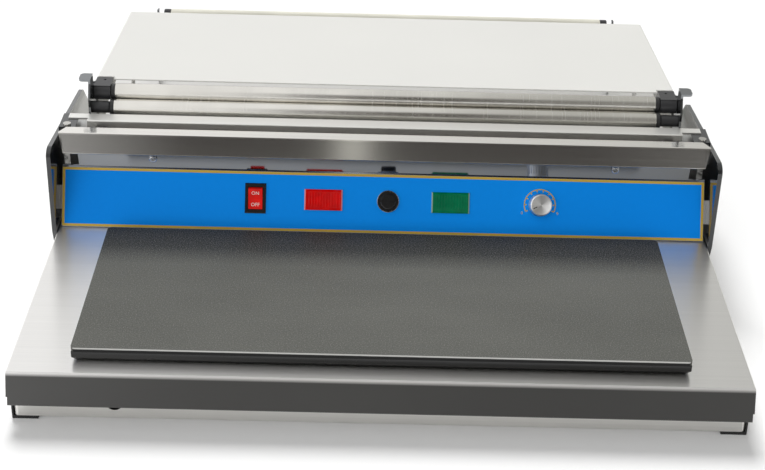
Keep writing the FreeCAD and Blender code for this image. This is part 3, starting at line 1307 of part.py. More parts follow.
def make_roller_bracket():
    """The right-hand roller bracket: hooked plate, open slot, finger tab and foot."""
    bracket = new_body("roller_bracket_right")
    slot_front = "(upper_y - tongue_width/2 - slot_gap)"
    slot_rear = "(upper_y + tongue_width/2 + slot_gap)"
    outline = sketch(bracket, "YZ_Plane", "bracket_side")
    draw_edges(outline, [
        ("bracket_front", "0"), ("bracket_front", "lower_z + 14"), ("finger_front", "finger_top - 4"),
        ("finger_front", "finger_top"), (slot_front, "finger_top"), (slot_front, "slot_low"),
        (slot_rear, "slot_low"), (slot_rear, "upper_z + 8.5"), ("bracket_rear - 12", "upper_z + 3"),
        ("bracket_rear", "upper_z - 8"), ("bracket_rear", "0"),
    ])
    pad(bracket, outline, "bracket_wall")
    foot = sketch(bracket, "XY_Plane")
    draw_box(foot, "bracket_side", "bracket_front", "bracket_side + bracket_wall + bracket_foot", "bracket_rear")
    pad(bracket, foot, "bracket_wall")
    tab = sketch(bracket, "XY_Plane", "finger_top")
    draw_box(tab, "bracket_side", "finger_front", "bracket_side + bracket_wall + finger_reach", slot_front)
    finger = pad(bracket, tab, "bracket_wall", back=True)
    reach = size("bracket_side") + size("bracket_wall") + size("finger_reach")
    dress(bracket, "Fillet", finger, "finger_corner",
          lambda edge: runs_along(edge, AXIS_Z) and abs(middle_of(edge).x - reach) < 0.01
          and middle_of(edge).z > size("finger_top") - size("bracket_wall"))
    window = sketch(bracket, "YZ_Plane", "bracket_side")
    draw_box(window, "bracket_front + 14", "0.18*lower_z", "bracket_rear - 14", "0.68*lower_z")
    draw_circle(window, "lower_y", "lower_z", "stub_radius + running_gap")
    pocket(bracket, window, "4*bracket_wall")
    place(bracket)
    return keep(bracket, "roller_bracket_right")


def make_tube(label, length, back, up):
    """A roller's tube."""
    outer = doc.addObject("Part::Cylinder", label + "_outer")
    bind(outer, "Radius", "roller_radius")
    bind(outer, "Height", length)
    inner = doc.addObject("Part::Cylinder", label + "_inner")
    bind(inner, "Radius", "roller_radius - tube_wall")
    bind(inner, "Height", length)
    tube = doc.addObject("Part::Cut", label)
    tube.Base = outer
    tube.Tool = inner
    tube.Placement = Placement(Vector(), Rotation(AXIS_Y, 90))
    bind(tube, "Placement.Base.x", f"-({length})/2")
    bind(tube, "Placement.Base.y", f"origin_y + {back}")
    bind(tube, "Placement.Base.z", f"deck_height + {up}")
    doc.recompute()
    return keep(tube, label)


def turned_pair(label, points, back, up):
    """Turn an outline of distances from the middle and radii, and keep it with its mirror image."""
    one = new_body(label + "_right")
    drawing = sketch(one, "XY_Plane")
    draw_edges(drawing, points)
    revolve(one, drawing, "H_Axis")
    right = one.Shape.copy()
    right.translate(Vector(0, size(back), size(up)))
    return gathered(label, [right, right.mirror(Vector(), AXIS_X)])


def make_plugs(label, half, flange, back, up):
    """The plastic plugs in the two ends of a roller."""
    inner = "roller_radius - tube_wall"
    return turned_pair(label, [
        (f"{half} - plug_depth", "stub_radius"), (f"{half} - plug_depth", inner),
        (half, inner), (half, "roller_radius - 0.3"), (f"{half} + {flange} - 0.6", "roller_radius - 0.3"),
        (f"{half} + {flange}", "roller_radius - 0.9"), (f"{half} + {flange}", "stub_radius"),
    ], back, up)


def make_stubs(label, half, end, back, up):
    """The steel stub axles in the two plugs of a roller."""
    return turned_pair(label, [
        (f"{half} - plug_depth", "0"), (f"{half} - plug_depth", "stub_radius"), (f"{end} - 0.4", "stub_radius"),
        (end, "stub_radius - 0.4"), (end, "0"),
    ], back, up)


def make_lower_bearings():
    """The bearing bushes of the lower roller, seated on the brackets."""
    return turned_pair("lower_bearings", [
        ("plug_end + end_gap", "stub_radius + running_gap"), ("plug_end + end_gap", "bearing_radius - 0.5"),
        ("plug_end + end_gap + 0.5", "bearing_radius"), ("bracket_side", "bearing_radius"),
        ("bracket_side", "stub_radius + running_gap"),
    ], "lower_y", "lower_z")


def make_upper_block():
    """The sliding block at the right-hand end of the upper roller, with its guide tongue."""
    block = new_body("upper_block_right")
    start = "(plug_end + end_gap)"
    body_length = f"(bracket_side - end_gap - {start})"
    nose = sketch(block, "YZ_Plane", start)
    draw_circle(nose, "upper_y", "upper_z", "block_nose")
    pad(block, nose, body_length)
    tail = sketch(block, "YZ_Plane", start)
    draw_box(tail, "upper_y", "upper_z - 0.6*block_nose", "upper_y + block_rear", "upper_z + block_nose")
    pad(block, tail, body_length)
    crown = sketch(block, "YZ_Plane", start)
    draw_box(crown, "upper_y - 0.55*block_nose", "upper_z", "upper_y", "upper_z + block_nose")
    pad(block, crown, body_length)
    tongue = sketch(block, "YZ_Plane", "bracket_side - end_gap")
    draw_box(tongue, "upper_y - tongue_width/2", "upper_z - tongue_width/2",
             "upper_y + tongue_width/2", "upper_z + block_nose")
    pad(block, tongue, "end_gap + 0.8*bracket_wall")
    bore = sketch(block, "YZ_Plane", start)
    draw_circle(bore, "upper_y", "upper_z", "stub_radius + running_gap")
    pocket(block, bore, f"{body_length} - 1.5", both=False, back=True)
    grease = sketch(block, "XY_Plane", "upper_z + block_nose")
    draw_circle(grease, f"{start} + 0.45*{body_length}", "upper_y + 0.65*block_rear", "block_hole")
    pocket(block, grease, "block_nose", both=False)
    place(block)
    return keep(block, "upper_block_right")


# Top plate

def make_top_plate():
    """The tilted top plate, with windowed side walls and feet on the deck."""
    top = new_body("top_plate")
    profile = sketch(top, "YZ_Plane")
    draw_edges(profile, [("top_near", "0"), ("top_far", "0"), ("top_far", "top_far_height"),
                         ("top_near", "top_height")])
    block = pad(top, profile, "top_width", both=True)
    side = size("top_width") / 2
    rounded = dress(top, "Fillet", block, "2*top_wall",
                    lambda edge: abs(abs(middle_of(edge).x) - side) < 0.01
                    and middle_of(edge).z > size("top_far_height") - 1
                    and abs(edge.tangentAt(edge.FirstParameter).y) > 0.9)
    hollow(top, rounded, "top_wall",
           lambda face: face.CenterOfMass.z < 0.01 or
           abs(face.CenterOfMass.x) < 1 and abs(face.normalAt(0, 0).y) > 0.9)
    windows = sketch(top, "YZ_Plane")
    draw_edges(windows, [("bracket_rear + 12", "14"), ("top_far - 16", "14"),
                         ("top_far - 16", "top_window"), ("bracket_rear + 12", "top_window")])
    pocket(top, windows)
    notches = sketch(top, "XY_Plane", "top_height + 1")
    for sign in ("", "-"):
        draw_box(notches, f"{sign}(plug_end - 1)", "top_near - 1", f"{sign}(top_width/2 + 1)",
                 "upper_y + block_rear + 1")
    pocket(top, notches, "top_height + 2.5 - upper_z + 0.6*block_nose", both=False)
    feet = sketch(top, "XY_Plane")
    for sign in ("", "-"):
        draw_box(feet, f"{sign}top_width/2", "bracket_rear + 1", f"{sign}(top_width/2 + top_foot)", "top_far")
    pad(top, feet, "top_wall")
    place(top)
    return keep(top, "top_plate")


# Rear roller brackets

def make_rear_bracket():
    """The right-hand rear bracket: a forked plate with a finger tab and a foot."""
    bracket = new_body("rear_bracket_right")
    notch = "(stub_radius + running_gap)"
    outline = sketch(bracket, "YZ_Plane", "rear_side")
    draw_edges(outline, [
        ("rear_y - rear_bracket_depth/2", "0"), ("rear_y + rear_bracket_depth/2", "0"),
        ("rear_y + 9", "rear_top"), (f"rear_y + {notch}", "rear_top"), (f"rear_y + {notch}", "rear_z"),
        (f"rear_y - {notch}", "rear_z"), (f"rear_y - {notch}", "rear_top"), ("rear_y - 9", "rear_top"),
    ])
    pad(bracket, outline, "bracket_wall")
    seat = sketch(bracket, "YZ_Plane", "rear_side")
    draw_circle(seat, "rear_y", "rear_z", notch)
    pocket(bracket, seat, "4*bracket_wall")
    foot = sketch(bracket, "XY_Plane")
    draw_box(foot, "rear_side", "rear_y - rear_bracket_depth/2",
             "rear_side + bracket_wall + bracket_foot", "rear_y + rear_bracket_depth/2")
    pad(bracket, foot, "bracket_wall")
    tab = sketch(bracket, "XY_Plane", "rear_top")
    draw_box(tab, "rear_side", "rear_y - 9", "rear_side + bracket_wall + finger_reach - 1", f"rear_y - {notch}")
    pad(bracket, tab, "bracket_wall", back=True)
    place(bracket)
    return keep(bracket, "rear_bracket_right")


# Electrics in the base

def make_regulator_board():
    """The regulator board on four pillars, with its heat sink and parts."""
    board = new_body("regulator_board")
    base = sketch(board, "XY_Plane", "standoff")
    draw_box(base, "-board_width/2", "-board_depth/2", "board_width/2", "board_depth/2")
    pad(board, base, "board_thick")
    pillars = sketch(board, "XY_Plane")
    for side in (-1, 1):
        for end in (-1, 1):
            draw_circle(pillars, f"{side}*(board_width/2 - 5)", f"{end}*(board_depth/2 - 5)", "3")
    pad(board, pillars, "standoff")
    sink = sketch(board, "XY_Plane", "standoff + board_thick")
    draw_box(sink, "8", "-18", "34", "-15")
    for step in range(6):
        draw_box(sink, f"{9 + 4.6 * step}", "-14.9", f"{10.4 + 4.6 * step}", "-4")
    draw_box(sink, "-34", "-16", "-22", "2")
    draw_circle(sink, "-8", "8", "5")
    pad(board, sink, "17")
    place(board, "deck_width/2 - board_side", "deck_depth - board_behind", "pan_floor + pan_wall")
    return keep(board, "regulator_board")


def make_transformer():
    """The cutter's transformer: laminated core with feet, and its winding."""
    core = new_body("transformer_core")
    base = sketch(core, "XZ_Plane")
    draw_edges(base, [("-core_width/2", "0"), ("core_width/2", "0"), ("core_width/2", "core_rise"),
                      ("-core_width/2", "core_rise")])
    for sign in ("", "-"):
        draw_box(base, f"{sign}core_width/6", "core_rise/5", f"{sign}core_width/3", "0.8*core_rise")
    pad(core, base, "core_depth", both=True)
    feet = sketch(core, "XY_Plane")
    draw_box(feet, "-core_width/2 - 10", "-core_depth/2", "core_width/2 + 10", "core_depth/2")
    for sign in ("", "-"):
        draw_circle(feet, f"{sign}(core_width/2 + 5)", "0", "screw_hole")
    pad(core, feet, "1.6")
    place(core, "core_x", "deck_depth - core_behind", "pan_floor + pan_wall")
    keep(core, "transformer_core")
    coil = new_body("transformer_coil")
    outline = sketch(coil, "XY_Plane", "core_rise/5 + 0.2")
    draw_box(outline, "-core_width/3 + 0.2", "-core_depth/2 - 8", "core_width/3 - 0.2", "core_depth/2 + 8")
    draw_box(outline, "-core_width/6 - 0.2", "-core_depth/2 - 0.2", "core_width/6 + 0.2", "core_depth/2 + 0.2")
    block = pad(coil, outline, "0.6*core_rise - 0.4")
    dress(coil, "Fillet", block, "3", lambda edge: runs_along(edge, AXIS_Z)
          and abs(middle_of(edge).y) > size("core_depth") / 2 + 7)
    place(coil, "core_x", "deck_depth - core_behind", "pan_floor + pan_wall")
    return keep(coil, "transformer_coil")


def make_terminal_block():
    """The mains terminal block, with a screw well for each way."""
    block = new_body("terminal_block")
    base = sketch(block, "XY_Plane")
    ways = int(size("block_ways"))
    draw_box(base, "-way_pitch*block_ways/2", "-9", "way_pitch*block_ways/2", "9")
    pad(block, base, "15")
    wells = sketch(block, "XY_Plane", "15")
    for step in range(ways):
        across = f"way_pitch*{step - (ways - 1) / 2}"
        draw_circle(wells, across, "-4", "1.8")
    pocket(block, wells, "6", both=False)
    place(block, "block_side - deck_width/2", "deck_depth - block_behind", "pan_floor + pan_wall")
    return keep(block, "terminal_block")


def make_everything():
    """Make every sub-part, from the floor up."""
    make_base_deck()
    make_base_pan()
    make_corner_feet()
    make_base_screws()
    make_cable_gland()
    make_hot_plate()
    make_hot_plate_cover()
    make_hot_plate_frame()
    make_heater_sheet("heater_mat", "mat_low", "mat_thick", "0")
    make_heater_sheet("heater_clamp", "clamp_low", "clamp_thick", "2")
    make_heater_sheet("heater_insulation", "frame_wall", "clamp_low - frame_wall", "4")
    make_hot_plate_studs()
    make_control_panel()
    make_panel_overlay()
    make_panel_spacers()
    make_switch_body()
    make_switch_rocker()
    make_lamp("heat_lamp_body", "heat_lamp_x")
    make_lens("heat_lamp_lens", "heat_lamp_x")
    make_lamp("cutter_lamp_body", "cutter_lamp_x")
    make_lens("cutter_lamp_lens", "cutter_lamp_x")
    make_fuse_holder()
    make_fuse_cap()
    make_fuse_link()
    make_regulator_pot()
    make_regulator_shaft()
    make_regulator_knob()
    make_regulator_board()
    make_transformer()
    make_terminal_block()
    make_cutter_bar()
    make_cutter_insulator()
    make_wire_posts()
    make_cutter_wire()
    make_cutter_springs()
    make_spring_anchors()
    make_film_rest()
    make_rear_cover()
    mirrored(make_rest_bracket(), "rest_bracket_left")
    mirrored(make_side_plate(), "side_plate_left")
    mirrored(make_roller_bracket(), "roller_bracket_left")
    make_tube("lower_roller", "roller_length", "lower_y", "lower_z")
    make_plugs("lower_roller_plugs", "roller_length/2", "plug_flange", "lower_y", "lower_z")
    make_stubs("lower_roller_stubs", "roller_length/2", "(bracket_side + bracket_wall)", "lower_y", "lower_z")
    make_lower_bearings()
    make_tube("upper_roller", "roller_length", "upper_y", "upper_z")
    make_plugs("upper_roller_plugs", "roller_length/2", "plug_flange", "upper_y", "upper_z")
    make_stubs("upper_roller_stubs", "roller_length/2", "(bracket_side - end_gap - 2)", "upper_y", "upper_z")
    mirrored(make_upper_block(), "upper_block_left")
    make_top_plate()
    make_tube("rear_roller", "rear_length", "rear_y", "rear_z")
    make_plugs("rear_roller_caps", "rear_length/2", "rear_cap", "rear_y", "rear_z")
    make_stubs("rear_roller_stubs", "rear_length/2", "(rear_side + bracket_wall)", "rear_y", "rear_z")
    mirrored(make_rear_bracket(), "rear_bracket_left")


def check_everything():
    """Stop if any object failed or any sub-part is empty, broken or out of its name's bounds."""
    failed = [thing.Label for thing in doc.Objects if {"Invalid", "Error"} & set(thing.State)]
    if failed:
        raise RuntimeError(f"failed objects: {failed}")
    faulty = [part.Label for part in parts
              if part.Shape.isNull() or not part.Shape.isValid() or not part.Shape.Solids]
    if faulty:
        raise RuntimeError(f"without a sound solid: {faulty}")


def write_everything():
    """Write each sub-part to its own file."""
    os.makedirs("parts", exist_ok=True)
    for part in parts:
        part.Shape.exportStep(f"parts/{part.Label}.step")


make_everything()
doc.recompute()
check_everything()
write_everything()
facets = sum(len(part.Shape.tessellate(0.1)[1]) for part in parts)
print(f"{len(parts)} sub-parts, {facets} facets at 0.1 mm")
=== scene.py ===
# %% [markdown]
# # A film wrapping machine with a hot sealing plate
# The solids of the machine come in as a fixed frame, in metres, with the floor at Z = 0 and the
# front facing -Y. This lesson dresses them: it gives every sheet, plate and knob its own surface,
# and it models the small things that solids leave out, such as screws, coils and printed marks.

# %% Load the frame
import json
import math

import bmesh
import bpy
from mathutils import Matrix, Vector


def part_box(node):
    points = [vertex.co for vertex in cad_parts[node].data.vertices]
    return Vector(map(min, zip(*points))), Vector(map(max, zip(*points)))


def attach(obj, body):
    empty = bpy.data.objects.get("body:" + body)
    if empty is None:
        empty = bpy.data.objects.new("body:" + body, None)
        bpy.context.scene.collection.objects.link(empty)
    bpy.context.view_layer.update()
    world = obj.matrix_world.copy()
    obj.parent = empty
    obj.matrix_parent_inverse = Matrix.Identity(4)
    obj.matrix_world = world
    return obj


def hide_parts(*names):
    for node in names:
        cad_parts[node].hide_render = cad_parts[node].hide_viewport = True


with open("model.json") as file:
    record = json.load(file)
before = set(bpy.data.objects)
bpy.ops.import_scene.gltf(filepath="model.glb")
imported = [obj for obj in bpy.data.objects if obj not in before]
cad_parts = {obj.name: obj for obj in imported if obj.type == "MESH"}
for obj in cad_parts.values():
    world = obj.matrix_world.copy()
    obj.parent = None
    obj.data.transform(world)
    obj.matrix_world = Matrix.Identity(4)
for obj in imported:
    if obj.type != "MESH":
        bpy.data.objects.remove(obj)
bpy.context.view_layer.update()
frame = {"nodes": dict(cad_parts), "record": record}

bpy.ops.object.select_all(action="DESELECT")
print("solids:", len(frame["nodes"]))

# %% [markdown]
# ## Where things are
# The machine was drawn from its deck: X to the right, Y to the rear from the deck's front edge
# and Z up from the deck's top. Two offsets turn such a place into the model's own frame, so every
# piece below can use the sizes that a sheet-metal worker would read off the drawing.

# %% Places on the deck and on the panel
MM = 0.001
DECK_FRONT = -301.075
DECK_TOP = 46.0
PANEL_FRONT = 234.0
PANEL_LEAN = math.radians(28.4)
CONTROL_LINE = 31.2


def at(x, y, z):
    """A place in millimetres from the deck's front edge and top, in metres in the model."""
    return Vector((x, y + DECK_FRONT, z + DECK_TOP)) * MM


def on_panel(x, slope=CONTROL_LINE, out=0.0):
    """A place on the leaning panel: along it, up its slope and out of its face."""
    return at(x, PANEL_FRONT + slope * math.sin(PANEL_LEAN) - out * math.cos(PANEL_LEAN),
              slope * math.cos(PANEL_LEAN) + out * math.sin(PANEL_LEAN))


def panel_frame(x, slope=CONTROL_LINE, out=0.0):
    """The matrix that lays a piece modelled flat on the panel's face."""
    turn = Matrix.Rotation(math.pi / 2 - PANEL_LEAN, 4, "X")
    return Matrix.Translation(on_panel(x, slope, out)) @ turn


print("regulator knob at", on_panel(145.0))

# %% [markdown]
# ## Camera
# The photograph was taken from in front and above, at about thirty degrees. A long lens keeps the
# deck's sides only slightly converging. The camera's three directions are written as a matrix,
# because the picture is also rolled by a small angle, which is awkward to aim by hand.

# %% Set the camera
CAMERA_PLACE = at(-13.5, -1036.4, 722.3)
CAMERA_YAW, CAMERA_PITCH, CAMERA_ROLL = (math.radians(value) for value in (0.60, 29.62, 1.68))
SENSOR_WIDTH, PICTURE_WIDTH = 36.0, 765
FOCAL_PIXELS = 1576.0

ahead = Vector((math.sin(CAMERA_YAW) * math.cos(CAMERA_PITCH),
                math.cos(CAMERA_YAW) * math.cos(CAMERA_PITCH), -math.sin(CAMERA_PITCH)))
level = Vector((math.cos(CAMERA_YAW), -math.sin(CAMERA_YAW), 0.0))
upright = level.cross(ahead)
right = math.cos(CAMERA_ROLL) * level + math.sin(CAMERA_ROLL) * upright
above = -math.sin(CAMERA_ROLL) * level + math.cos(CAMERA_ROLL) * upright
bpy.ops.object.camera_add(location=CAMERA_PLACE)
camera = bpy.context.object
aim = Matrix((right, above, -ahead)).transposed().to_4x4()
camera.matrix_world = Matrix.Translation(CAMERA_PLACE) @ aim
camera.data.sensor_width = SENSOR_WIDTH
camera.data.lens = camera.data.sensor_width * FOCAL_PIXELS / PICTURE_WIDTH
bpy.context.scene.camera = camera
print("lens", round(camera.data.lens, 2), "mm")

# %% [markdown]
# ## Building surfaces from nodes
# A surface is a small network: a pattern feeds the shader's colour, roughness and bump. Writing
# each link by hand takes many lines, so one helper adds a node and sets its values in one call.
# All patterns read Object coordinates. The pieces sit unturned at the origin, so one unit of such
# a pattern is one metre of the real machine, and the grain has its true size.

# %% Helpers for nodes


def start_material(name):
    """Make a material and hand back its nodes, its links and its shader."""
    surface = bpy.data.materials.new(name)
    surface.use_nodes = True
    tree = surface.node_tree
    return surface, tree, tree.nodes["Principled BSDF"]


def add_node(tree, kind, **values):
    """Add a node. Values named after its inputs or its settings are filled in or linked."""
    node = tree.nodes.new(kind)
    for name, value in values.items():
        label = name.replace("_", " ")
        if label in node.inputs:
            give(tree, node.inputs[label], value)
        else:
            setattr(node, name, value)
    return node


def give(tree, socket, value):
    """Link an output to a socket, or set the socket's own value."""
    if isinstance(value, bpy.types.NodeSocket):
        tree.links.new(value, socket)
    else:
        socket.default_value = value


def coordinates(tree, scale=(1.0, 1.0, 1.0), turn=(0.0, 0.0, 0.0), shift=(0.0, 0.0, 0.0)):
    """Object coordinates, stretched, turned or shifted by a Mapping node."""
    source = add_node(tree, "ShaderNodeTexCoord")
    mapping = add_node(tree, "ShaderNodeMapping", Vector=source.outputs["Object"])
    mapping.inputs["Scale"].default_value = scale
    mapping.inputs["Rotation"].default_value = turn
    mapping.inputs["Location"].default_value = shift
    return mapping.outputs["Vector"]


print("helpers for nodes ready")

# %% [markdown]
# A pattern is a number between 0 and 1 at every place. The next helpers make one, stretch it, mix
# two colours by it and turn it into relief. A surface's fixed values go straight into its shader.

# %% Helpers for patterns and colours
BUMP_RISE = 0.1 * MM


def noise(tree, vector, scale, detail=3.0, roughness=0.5):
    """A soft random pattern."""
    return add_node(tree, "ShaderNodeTexNoise", Vector=vector, Scale=scale, Detail=detail,
                    Roughness=roughness).outputs["Fac"]


def spread(tree, value, low, high, from_low=0.0, from_high=1.0):
    """Stretch a value from one range to another."""
    return add_node(tree, "ShaderNodeMapRange", Value=value, From_Min=from_low, From_Max=from_high,
                    To_Min=low, To_Max=high).outputs["Result"]


def contrast(tree, pattern, low=0.0, high=1.0):
    """Stretch a noise to a full range, because noise seldom leaves its middle part."""
    return spread(tree, pattern, low, high, 0.3, 0.7)


def blend_colours(tree, share, first, second):
    """Mix two colours by a share between 0 and 1."""
    node = tree.nodes.new("ShaderNodeMix")
    node.data_type = "RGBA"
    sockets = {socket.identifier: socket for socket in node.inputs}
    give(tree, sockets["Factor_Float"], share)
    give(tree, sockets["A_Color"], first)
    give(tree, sockets["B_Color"], second)
    return next(socket for socket in node.outputs if socket.identifier == "Result_Color")


def combine(tree, operation, first, second=0.0):
    """A Math node. Some of its operations look at the first value only."""
    node = add_node(tree, "ShaderNodeMath", operation=operation)
    give(tree, node.inputs[0], first)
    give(tree, node.inputs[1], second)
    return node.outputs["Value"]


def bump(tree, height, strength):
    """Turn a pattern into small hills and dents."""
    return add_node(tree, "ShaderNodeBump", Height=height, Strength=strength,
                    Distance=BUMP_RISE).outputs["Normal"]


def rgba(red, green, blue):
    """A colour with full cover."""
    return (red, green, blue, 1.0)


def scaled(colour, factor):
    """A colour made darker or lighter by a factor, with full cover."""
    return rgba(*(min(1.0, value * factor) for value in colour))


def drifting(tree, pattern, colour, low, high):
    """A colour that wanders with a noise between a darker and a lighter shade of itself."""
    return blend_colours(tree, contrast(tree, pattern), scaled(colour, low), scaled(colour, high))


def constants(shader, **values):
    """Set the shader's sockets that stay the same all over a surface."""
    for name, value in values.items():
        shader.inputs[name.replace("_", " ")].default_value = value


print("helpers for patterns ready")

# %% [markdown]
# ## Brushed stainless steel
# Sheet steel leaves the mill with fine scratches that all run one way, here from side to side. On
# the real machine they smear reflections up and down, while upright edges stay crisp. A noise
# stretched along X draws the scratches, and the shader's anisotropy does the smearing: it needs to
# know which way is across the grain, and a radial Tangent about the grain's axis says so. A wide,
# weak noise adds the clouding of handled metal.

# %% Brushed steel
GRAIN_ALONG, GRAIN_ACROSS = 2.0, 900.0
BAND_WIDTH = 6.0


def brushed_steel(name, tint, rough=0.28, streak=0.05, along="X", pull=0.7, shade=None):
    """Steel with side-to-side or upright scratches. Pull is how far they stretch a reflection.

    Shade names an axis, two places on it and a share: up to the first place the steel is painted
    that much darker, as painted shade and painted dark reflection, and from the second one on it
    has its own tint.
    """
    surface, tree, shader = start_material(name)
    stretch = tuple(GRAIN_ALONG if axis == along else GRAIN_ACROSS for axis in "XYZ")
    fine = noise(tree, coordinates(tree, stretch), 1.0, 4.0, 0.65)
    wide = noise(tree, coordinates(tree, tuple(value / BAND_WIDTH for value in stretch)), 1.0, 2.0)
    cloud = noise(tree, coordinates(tree), 7.0, 4.0, 0.6)
    dark, light = scaled(tint, 1.0 - streak), scaled(tint, 1.0 + streak)
    lines = blend_colours(tree, spread(tree, fine, 0.0, 1.0, 0.25, 0.75), dark, light)
    bands = blend_colours(tree, spread(tree, wide, 0.0, 0.10, 0.35, 0.65), lines, dark)
    body = blend_colours(tree, spread(tree, cloud, 0.0, 0.15, 0.40, 0.75), bands, dark)
    # Painted shade: below the first place the colour is darkened, standing in for a dark
    # reflection.
    if shade:
        axis, dark_to, light_from, share = shade
        split = add_node(tree, "ShaderNodeSeparateXYZ", Vector=coordinates(tree))
        painted_darkening = spread(tree, split.outputs[axis], 1.0, 0.0, dark_to, light_from)
        body = blend_colours(tree, painted_darkening, body, scaled(tint, share))
    give(tree, shader.inputs["Base Color"], body)
    grip = spread(tree, fine, rough - 0.015, rough + 0.015, 0.25, 0.75)
    give(tree, shader.inputs["Roughness"], grip)
    constants(shader, Metallic=1.0, Anisotropic=pull)
    ring = add_node(tree, "ShaderNodeTangent", direction_type="RADIAL", axis=along)
    give(tree, shader.inputs["Tangent"], ring.outputs["Tangent"])
    return surface


steel = {
    # Painted shade: the deck's front apron is painted darker, standing in for the dark reflection
    # of its shadow.
    "deck_steel": brushed_steel("deck brushed steel", (0.94, 0.93, 0.91), 0.34, 0.04, "X", 0.9,
                                ("Y", -0.3025, -0.3015, 0.13)),
    "pan_steel": brushed_steel("pan steel", (0.78, 0.77, 0.74), 0.36, 0.04),
    "panel_steel": brushed_steel("panel steel", (0.40, 0.42, 0.45), 0.10, 0.02, "X", 0.3),
    # Painted shade: the cutter bar's face below its ridge is painted darker, standing in for a dark
    # reflection.
    "bar_steel": brushed_steel("cutter bar steel", (0.86, 0.84, 0.80), 0.14, 0.05, "X", 0.95,
                               ("Z", 0.1312, 0.1328, 0.50)),
    "rest_steel": brushed_steel("film rest steel", (1.0, 0.99, 0.96), 0.45, 0.01, "X", 0.3),
    "cover_steel": brushed_steel("rear cover steel", (0.62, 0.62, 0.61), 0.34, 0.05),
    "bracket_steel": brushed_steel("bracket steel", (0.24, 0.25, 0.26), 0.12, 0.04, "Z", 0.3),
    "pot_metal": brushed_steel("regulator can steel", (0.6, 0.6, 0.6), 0.38, 0.04),
}
print("steels:", len(steel))

# %% [markdown]
# ## The plate's non-stick sheet
# The working face is a woven glass sheet soaked in non-stick resin, dark grey with a fine pale
# speckle and an uneven tone. It is painted darker towards the rear and paler in front, as painted
# shade and reflection, and a painted highlight runs as a bright line along its front edge.
# Gradients along Y and Z and a weave of crossed waves carry that.

# %% Non-stick sheet
WEAVE = 350.0
REAR_SHADE_FROM, REAR_SHADE_TO = -0.152, -0.122
EDGE_FROM, EDGE_TO = -0.2868, -0.2861
HIGHLIGHT_FROM, HIGHLIGHT_TO = 0.0588, 0.0594


def coated_sheet():
    """The cover of the hot plate."""
    surface, tree, shader = start_material("hot plate non-stick sheet")
    place = coordinates(tree)
    speckle = noise(tree, place, 900.0, 3.0, 0.7)
    patches = noise(tree, coordinates(tree, (1.0, 2.5, 1.0)), 6.0, 5.0, 0.55)
    split = add_node(tree, "ShaderNodeSeparateXYZ", Vector=place)
    # Painted shade and reflection: the sheet is painted darker towards the rear and paler in front.
    rear = spread(tree, split.outputs["Y"], 0.0, 1.0, REAR_SHADE_FROM, REAR_SHADE_TO)
    front = blend_colours(tree, contrast(tree, patches), rgba(0.080, 0.081, 0.073),
                          rgba(0.110, 0.111, 0.101))
    back = blend_colours(tree, contrast(tree, patches), rgba(0.013, 0.013, 0.013),
                         rgba(0.021, 0.021, 0.020))
    body = blend_colours(tree, rear, front, back)
    grains = blend_colours(tree, spread(tree, speckle, 0.0, 0.75, 0.48, 0.70), body,
                           rgba(0.24, 0.24, 0.22))
    # Painted highlight: a pale line along the top of the sheet's front edge, with the edge darker
    # below it.
    painted_edge_highlight = blend_colours(tree, spread(tree, split.outputs["Z"], 0.0, 1.0, HIGHLIGHT_FROM, HIGHLIGHT_TO),
                         rgba(0.012, 0.012, 0.012), rgba(0.52, 0.52, 0.50))
    edge = spread(tree, split.outputs["Y"], 1.0, 0.0, EDGE_FROM, EDGE_TO)
    give(tree, shader.inputs["Base Color"], blend_colours(tree, edge, grains, painted_edge_highlight))
    give(tree, shader.inputs["Roughness"], contrast(tree, patches, 0.46, 0.58))
    constants(shader, Specular_IOR_Level=0.22)
    waves = [add_node(tree, "ShaderNodeTexWave", Vector=place, Scale=WEAVE, bands_direction=axis)
             for axis in "XY"]
    weave = combine(tree, "MULTIPLY", waves[0].outputs["Fac"], waves[1].outputs["Fac"])
    give(tree, shader.inputs["Normal"], bump(tree, weave, 0.12))
    return surface


plate_sheet = coated_sheet()
print(plate_sheet.name)

# %% [markdown]
# ## Paint, plastic and rubber
# Painted sheet, moulded plastic and rubber differ in gloss and in the size of their texture, not
# in kind. One helper makes them all: a base colour that drifts a little, a fine grain for the
# bump, and a roughness that follows the drift, as it does where hands have polished a surface.

# %% Coated and moulded surfaces


def coated(name, colour, rough=0.4, grain=400.0, depth=0.15, drift=0.10, coat=0.0, metal=0.0):
    """A painted or moulded surface with a fine grain."""
    surface, tree, shader = start_material(name)
    place = coordinates(tree)
    cloud = noise(tree, place, 9.0, 4.0, 0.6)
    skin = noise(tree, place, grain, 3.0, 0.6)
    give(tree, shader.inputs["Base Color"],
         drifting(tree, cloud, colour, 1.0 - drift, 1.0 + drift))
    give(tree, shader.inputs["Roughness"],
         contrast(tree, cloud, max(0.04, rough - 0.06), rough + 0.08))
    constants(shader, Coat_Weight=coat, Metallic=metal)
    give(tree, shader.inputs["Normal"], bump(tree, skin, depth))
    return surface


